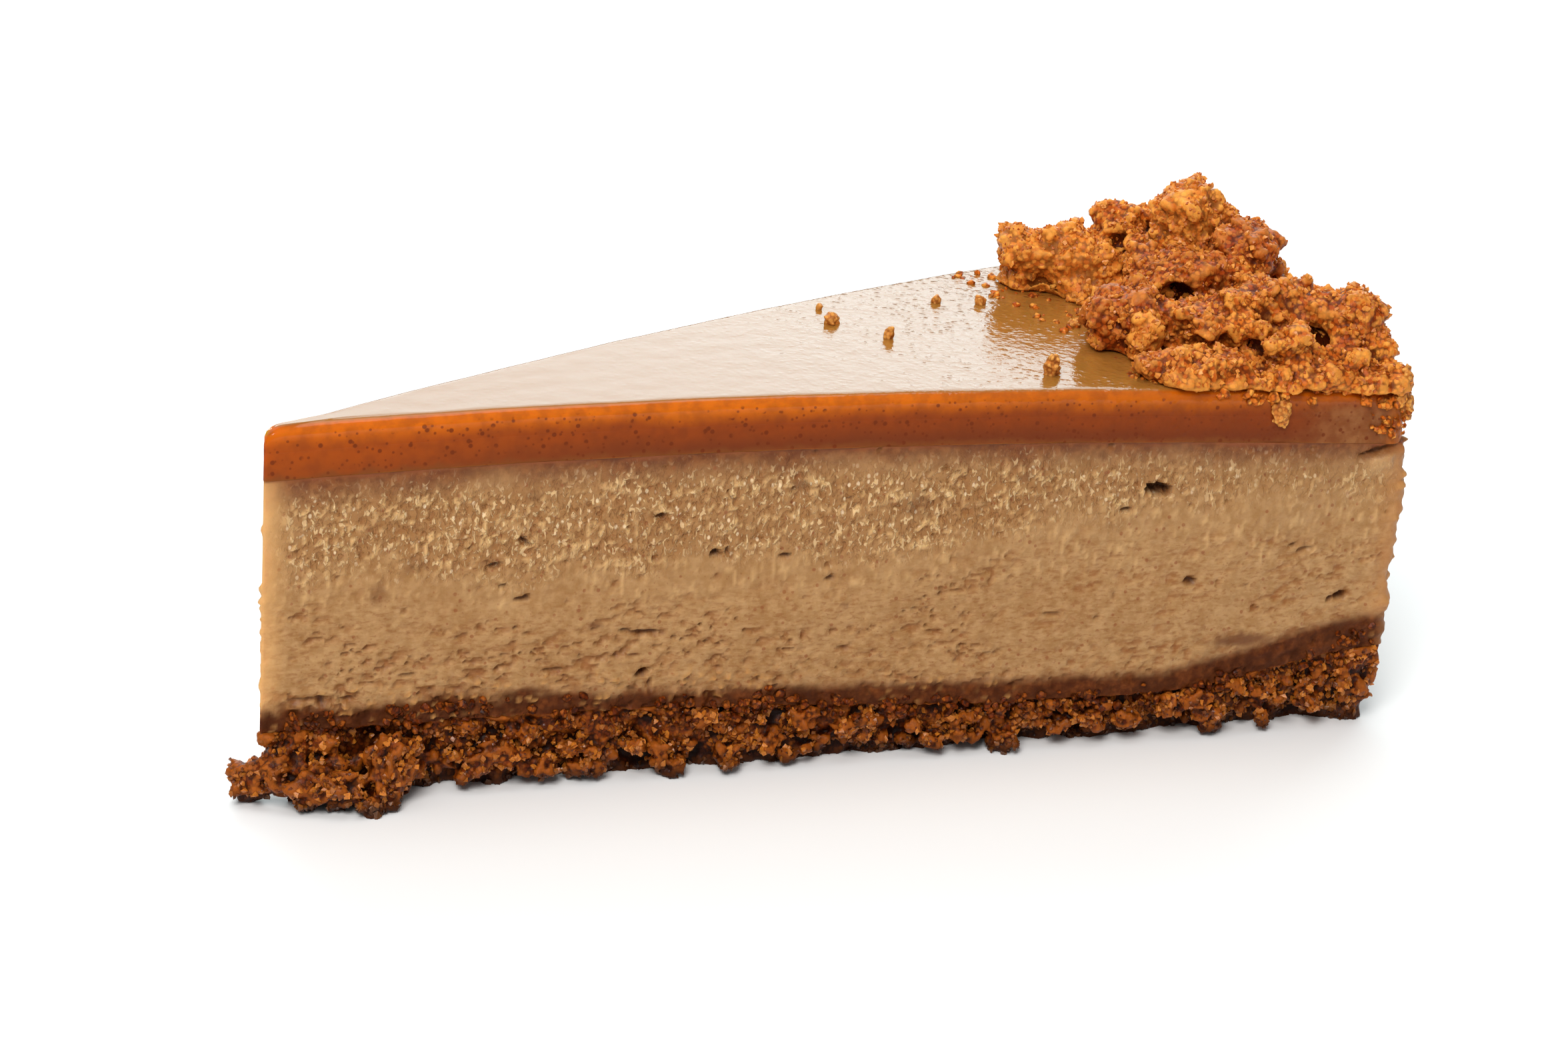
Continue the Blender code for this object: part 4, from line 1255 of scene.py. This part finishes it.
parts = [slab(60, 36, mound_corner)]
tints = []
for x, y, rise, length, width, tall, turn, toast_and_shade in HEAP_LUMPS:
    place = over_glaze(x * MM, y * MM, rise * MM)
    size = Vector((length, width, tall)) * MM
    parts.append(lump(place, size * 0.93, math.radians(turn), 0.4, 4, 0.7))
    tints.append((place, size, math.radians(turn), toast_and_shade))
draw = random.Random(4)
for _ in range(56):
    radius = draw.uniform(HEAP_INNER - 1.5 * MM, HEAP_OUTER)
    x, y = on_ring(radius, draw.uniform(-HEAP_HALF_ANGLE, HEAP_HALF_ANGLE))
    size = crumb_size(draw, 2 * MM, 4.4 * MM)
    rise = float(mound_height(x, y)) + draw.uniform(0.2, 0.7) * size.x
    turn = draw.uniform(0, math.pi)
    if radius < 104 * MM and y > 17 * MM:
        size *= 0.4
        rise *= 0.3
    tints.append((over_glaze(x, y, rise), size, turn, draw.choice((0.0, 0.1, 0.2, 0.3, 0.6))))
    if not in_a_gap(over_glaze(x, y, rise)):
        parts.append(lump(over_glaze(x, y, rise), size, turn, 0.5, 3, 0.3))
edge = random.Random(6)
for _ in range(52):
    reach = edge.uniform(104, 130.5)
    x, y = on_ring(reach * MM, -HALF_ANGLE + edge.uniform(0.1, 2.4) / reach)
    size = crumb_size(edge, 1.2 * MM, 3.2 * MM)
    place = over_glaze(x, y, edge.uniform(0.1, 0.5) * size.x)
    parts.append(lump(place, size, edge.uniform(0, math.pi), 0.6, 3, 0.3))
body = joined("heap_body", parts)
raise_from_glaze(body)
skin = grown_together("heap_skin", body, 0.5 * MM, 0.0)
keep_largest(skin)
medium = scattered("heap_medium", skin, pebble, {
    "Crumbs per square metre": 0.42e6, "Smallest": 1.0 * MM, "Largest": 2.9 * MM,
    "Patch size": 5 * MM, "Bare share": 0.42, "Seed": 11})
small = scattered("heap_small", skin, pebble, {
    "Crumbs per square metre": 1.2e6, "Smallest": 0.6 * MM, "Largest": 1.4 * MM,
    "Patch size": 3 * MM, "Bare share": 0.38, "Seed": 12})
body = joined("heap_body", [lists_of(skin), lists_of(medium), lists_of(small)])
raise_from_glaze(body)
heap_mesh = grown_together("heap", body, HEAP_VOXEL, 0.08)
keep_largest(heap_mesh)
places = places_of(heap_mesh)
for gap_x, gap_y, rise, reach, deep in HEAP_GAPS:
    centre = over_glaze(gap_x * MM, gap_y * MM, rise * MM)
    away = np.linalg.norm(places - np.array(centre), axis=1) / (reach * MM)
    places -= normals_of(heap_mesh) * (deep * smooth((1 - away) / 0.7) * MM)[:, None]
over = (places[:, 2] - top_height(places[:, 0], places[:, 1])) / MM
away, _ = specks(places / MM, 0.58, 45)
grain = 0.18 * (0.6 - away) + 0.06 * bumps(places / MM, 0.4, 46)
places += normals_of(heap_mesh) * (grain * smooth((over - 0.25) / 0.3) * MM)[:, None]
heap_mesh.vertices.foreach_set("co", places.ravel())
# How deep each place lies, for the painted shade in hollows and the painted highlight where it stands out.
note_values(heap_mesh, "hollow", hollows(heap_mesh, 12) / (0.32 * MM))
note_values(heap_mesh, "recess", hollows(heap_mesh, 110) / (1.5 * MM))
closest = np.full(len(places), 1.35)
toast_and_shade_values = np.full(len(places), 0.35)
for place, size, turn, toast_and_shade in tints:
    away = places - np.array(place)
    turned_x = away[:, 0] * math.cos(turn) + away[:, 1] * math.sin(turn)
    turned_y = away[:, 1] * math.cos(turn) - away[:, 0] * math.sin(turn)
    inside = np.sqrt((turned_x / size.x) ** 2 + (turned_y / size.y) ** 2 + (away[:, 2] / size.z) ** 2) * 2
    nearer = inside < closest
    closest[nearer] = inside[nearer]
    toast_and_shade_values[nearer] = toast_and_shade
note_values(heap_mesh, "toast_and_shade", toast_and_shade_values)
heap = shown("heap", heap_mesh)

crumble = biscuit("crumble", (0.46, 0.082, 0.006), (0.68, 0.165, 0.014),
                  (0.95, 0.40, 0.062), (0.080, 0.010, 0.0006), 0.55 * MM)
made = crumble.surface.inputs["Base Color"].links[0].from_socket
toast_and_shade = crumble.value_of("toast_and_shade")
redder = {0: made, 1: (0.68, 0.52, 0.56)}
reddish = crumble.node("ShaderNodeVectorMath", redder, operation="MULTIPLY").outputs[0]
# Redder and darker where toasted, which for one lump is also a painted shade; paler below 0.
toasted = crumble.mix(crumble.steps(toast_and_shade, 0.0, 1.0), made, reddish)
pale = crumble.mix(crumble.steps(toast_and_shade, 0.0, -0.5, 0.0, 0.5), toasted, (0.95, 0.36, 0.060))
crumble.set(Base_Color=pale)
crumble.put_on(heap)
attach(heap, "root")
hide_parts("biscuit_crumble")

# Loose grains on the heap
# They are single grains of the crumble and of sugar that lie on its lumps and in their gaps.

heap_loose = loose_shader("loose_crumble", (0.38, 0.074, 0.006), (0.86, 0.33, 0.048))
upper_mesh = bared("heap_upper", heap_mesh, lambda face: face.normal.z < -0.3)
grains_mesh = scattered("heap_grains", upper_mesh, grit, {
    "Crumbs per square metre": 3.4e6, "Smallest": 0.35 * MM, "Largest": 1.0 * MM,
    "Patch size": 2.5 * MM, "Bare share": 0.34, "Seed": 13, "Material": heap_loose.material})
heap_grains = shown("heap_grains", grains_mesh, False)
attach(heap_grains, "root")

# Stray crumbs round the heap and over the base
# They are crumbs that rolled from the heap onto the wet glaze and over its edges, and crumbs of
# the base that the knife dragged up onto the soaked foot of the filling.


def strip(name, rows):
    """A strip of faces through rows of points, for crumbs to be scattered over."""
    rows = np.array(rows)
    count = rows.shape[1]
    faces = []
    for i in range(len(rows) - 1):
        for j in range(count - 1):
            faces.append((i * count + j, i * count + j + 1, (i + 1) * count + j + 1, (i + 1) * count + j))
    mesh = bpy.data.meshes.new(name)
    mesh.from_pydata(rows.reshape(-1, 3).tolist(), [], faces)
    return mesh


def glaze_row(points):
    return [over_glaze(x, y, -0.05 * MM) for x, y in points]


def glaze_side_row(drop, reaches):
    """Points on the near cut this many mm below the glaze's top, at these distances from the apex."""
    places = [on_ring(reach * MM, -HALF_ANGLE - 0.1 / reach) for reach in reaches]
    return [over_glaze(x, y, -drop * MM) for x, y in places]


inner_edge = strip("inner_edge", [
    glaze_row([on_ring(radius * MM, turn) for turn in np.linspace(-0.93, 0.97, 30) * HALF_ANGLE])
    for radius in np.linspace(99.5, 106, 8)])
near_edge = strip("near_edge", [
    glaze_row([on_ring(radius * MM, -HALF_ANGLE + inward / radius) for radius in np.linspace(103, 130, 30)])
    for inward in (0.3, 1.2, 2.4, 4.0)])
corner_rows = []
for drop in (0.5, 2.0, 3.5, 5.0):
    turns = [(s * MM, -HALF_ANGLE - 0.15 / s) for s in np.linspace(127, 131, 4)]
    turns += [(131.9 * MM, turn) for turn in np.linspace(-HALF_ANGLE * 0.97, -HALF_ANGLE * 0.75, 5)]
    corner_rows.append([over_glaze(*on_ring(reach, turn), -drop * MM) for reach, turn in turns])
corner_side = strip("corner_side", corner_rows)
near_side = strip("near_side", [
    glaze_side_row(drop, np.linspace(108, 131, 30)) for drop in (0.1, 0.6, 1.1)])
inner_strays = scattered("inner_strays", inner_edge, pebble, {
    "Crumbs per square metre": 1.1e6, "Smallest": 0.4 * MM, "Largest": 1.5 * MM,
    "Patch size": 3.0 * MM, "Bare share": 0.46, "Seed": 19, "Material": crumble.material})
stray_ground = joined("stray_ground", [lists_of(mesh) for mesh in (near_edge, near_side, corner_side)])
near_strays = scattered("near_strays", stray_ground, pebble, {
    "Crumbs per square metre": 3.4e6, "Smallest": 0.3 * MM, "Largest": 1.7 * MM,
    "Patch size": 3.0 * MM, "Bare share": 0.40, "Seed": 20, "Material": crumble.material})
bm = bmesh.new()
bm.from_mesh(inner_strays)
bm.from_mesh(near_strays)
strays_mesh = inner_strays.copy()
bm.to_mesh(strays_mesh)
bm.free()
strays = shown("heap_strays", strays_mesh, False)
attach(strays, "root")

foot_strips = []
for flip, first, last, rises in (
        (1, 3, 64, (-1.4, -0.4, 0.6, 1.4, 2.2)), (1, 64, 131, (-1.6, -0.7, 0.2, 1.1)),
        (1, 117, 132, (0.8, 1.5, 2.2, 3.0)), (-1, 3, 131, (-1.2, -0.4, 0.4, 1.0))):
    foot_rows = []
    for rise in rises:
        row = []
        for point, normal in zip(outline_points, outline_normals):
            if first * MM < along_the_cut(*point) < last * MM:
                out = point - normal * 0.1 * MM
                row.append((out[0], out[1] * flip, float(base_height(*point)) + rise * MM))
        foot_rows.append(row)
    foot_strips.append(strip("foot_strip", foot_rows))
feet = joined("foot_strips", [lists_of(mesh) for mesh in foot_strips])
dragged_mesh = scattered("dragged_crumbs", feet, pebble, {
    "Crumbs per square metre": 2.4e6, "Smallest": 0.4 * MM, "Largest": 1.6 * MM,
    "Patch size": 4.0 * MM, "Bare share": 0.42, "Seed": 23, "Material": base_biscuit.material})
dragged = shown("dragged_crumbs", dragged_mesh, False)
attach(dragged, "root")

# Loose crumbs on the glaze
# They are small crumbs that rolled off the heap and stuck to the glaze and to the cut.

# In mm and degrees: x and y of the middle, its height over the glaze, then length, width, height
# and turn.
LOOSE_CRUMBS = (
    (9.8, 8.0, 0.4, 2.4, 1.8, 1.9, 10),
    (13.3, 1.5, 0.4, 1.7, 1.5, 2.2, 40),
    (26.1, 11.8, 0.3, 1.6, 1.4, 1.4, 0),
    (31.0, 10.0, 0.3, 1.7, 1.4, 1.4, 20),
    (24.6, -14.6, 0.9, 2.2, 1.8, 3.6, 0),
    (48.4, -25.8, -2.4, 2.6, 2.0, 4.2, 0),
    (11.0, 13.0, 0.2, 1.0, 0.9, 0.8, 0),
    (37.5, 0.1, 0.3, 2.0, 1.6, 1.0, 30),
    (63.2, -28.6, 1.2, 2.4, 2.0, 5.0, 20),
    (63.9, -28.4, -1.2, 2.4, 2.2, 3.0, 60),
    (64.2, -27.9, -2.9, 2.0, 1.8, 2.2, 0),
    (62.4, -29.0, -0.6, 1.8, 1.6, 2.0, 0),
    (64.4, -27.0, -0.4, 2.4, 2.0, 2.4, 30),
)
parts = []
for x, y, rise, length, width, tall, turn in LOOSE_CRUMBS:
    place = over_glaze(x * MM, y * MM, rise * MM)
    parts.append(lump(place, Vector((length, width, tall)) * MM * 0.8, math.radians(turn), 0.5, 3))
cores = joined("loose_cores", parts)
nibs = scattered("loose_nibs", cores, pebble, {
    "Crumbs per square metre": 3.5e6, "Smallest": 0.4 * MM, "Largest": 0.8 * MM,
    "Patch size": 2 * MM, "Bare share": 0.2, "Seed": 17})
body = joined("loose_body", [lists_of(cores), lists_of(nibs)])
loose_mesh = grown_together("glaze_crumbs", body, 0.14 * MM, 0.03)
# How deep each place lies, for the painted shade in hollows and the painted highlight where it stands out.
note_values(loose_mesh, "hollow", hollows(loose_mesh, 10) / (0.2 * MM))
note_values(loose_mesh, "recess", np.zeros(len(loose_mesh.vertices)))
loose = shown("glaze_crumbs", loose_mesh)
light_crumb = biscuit("light_crumb", (0.48, 0.14, 0.022), (0.62, 0.21, 0.035),
                      (0.80, 0.38, 0.085), (0.24, 0.055, 0.008), 0.4 * MM)
light_crumb.put_on(loose)
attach(loose, "root")

for helper in (pebble, grit):
    bpy.data.objects.remove(helper)

# The floor, the light and the camera
# The slice stands on a plain pale table. A large soft light behind it shines in its glaze, and
# softer ones light its cut and its top.

bpy.ops.mesh.primitive_plane_add(size=3)
floor = bpy.context.object
floor.name = "floor"
paper = Shader("pale_table")
paper.set(Base_Color=(0.90, 0.90, 0.90, 1), Roughness=0.9)
floor.data.materials.append(paper.material)


def soft_light(name, place, target, width, height, power, colour):
    data = bpy.data.lights.new(name, "AREA")
    data.shape = "RECTANGLE"
    data.size = width
    data.size_y = height
    data.energy = power
    data.color = colour
    light = bpy.data.objects.new(name, data)
    light.location = place
    light.rotation_euler = (Vector(target) - Vector(place)).to_track_quat("-Z", "Y").to_euler()
    bpy.context.scene.collection.objects.link(light)


soft_light("behind", (0.40, 0.60, 0.46), (0, 0, 0.03), 1.0, 0.66, 5.9, (0.84, 0.98, 1.0))
soft_light("front", (-0.52, -0.55, 0.78), (0, 0, 0.02), 0.45, 0.45, 8.5, (1.0, 0.985, 0.96))
soft_light("above", (-0.1, 0.1, 0.9), (0, 0, 0), 0.8, 0.8, 3.5, (1.0, 1.0, 1.0))

world = bpy.data.worlds.new("studio")
world.use_nodes = True
world.node_tree.nodes["Background"].inputs[0].default_value = (0.93, 0.98, 1.0, 1)
world.node_tree.nodes["Background"].inputs[1].default_value = 0.28
bpy.context.scene.world = world
bpy.context.scene.view_settings.view_transform = "Standard"

yaw, pitch, roll = math.radians(31.403), math.radians(21.083), math.radians(3.529)
ahead = Vector((math.sin(yaw) * math.cos(pitch), math.cos(yaw) * math.cos(pitch), -math.sin(pitch)))
level = Vector((math.cos(yaw), -math.sin(yaw), 0))
upright = level.cross(ahead)
right = math.cos(roll) * level + math.sin(roll) * upright
up = math.cos(roll) * upright - math.sin(roll) * level
camera_data = bpy.data.cameras.new("camera")
camera_data.lens = 101.26
camera_data.sensor_width = 36
camera = bpy.data.objects.new("camera", camera_data)
camera_turn = Matrix((right, up, -ahead)).transposed().to_4x4()
camera.matrix_world = Matrix.Translation((-0.24014, -0.39367, 0.20130)) @ camera_turn
bpy.context.scene.collection.objects.link(camera)
bpy.context.scene.camera = camera
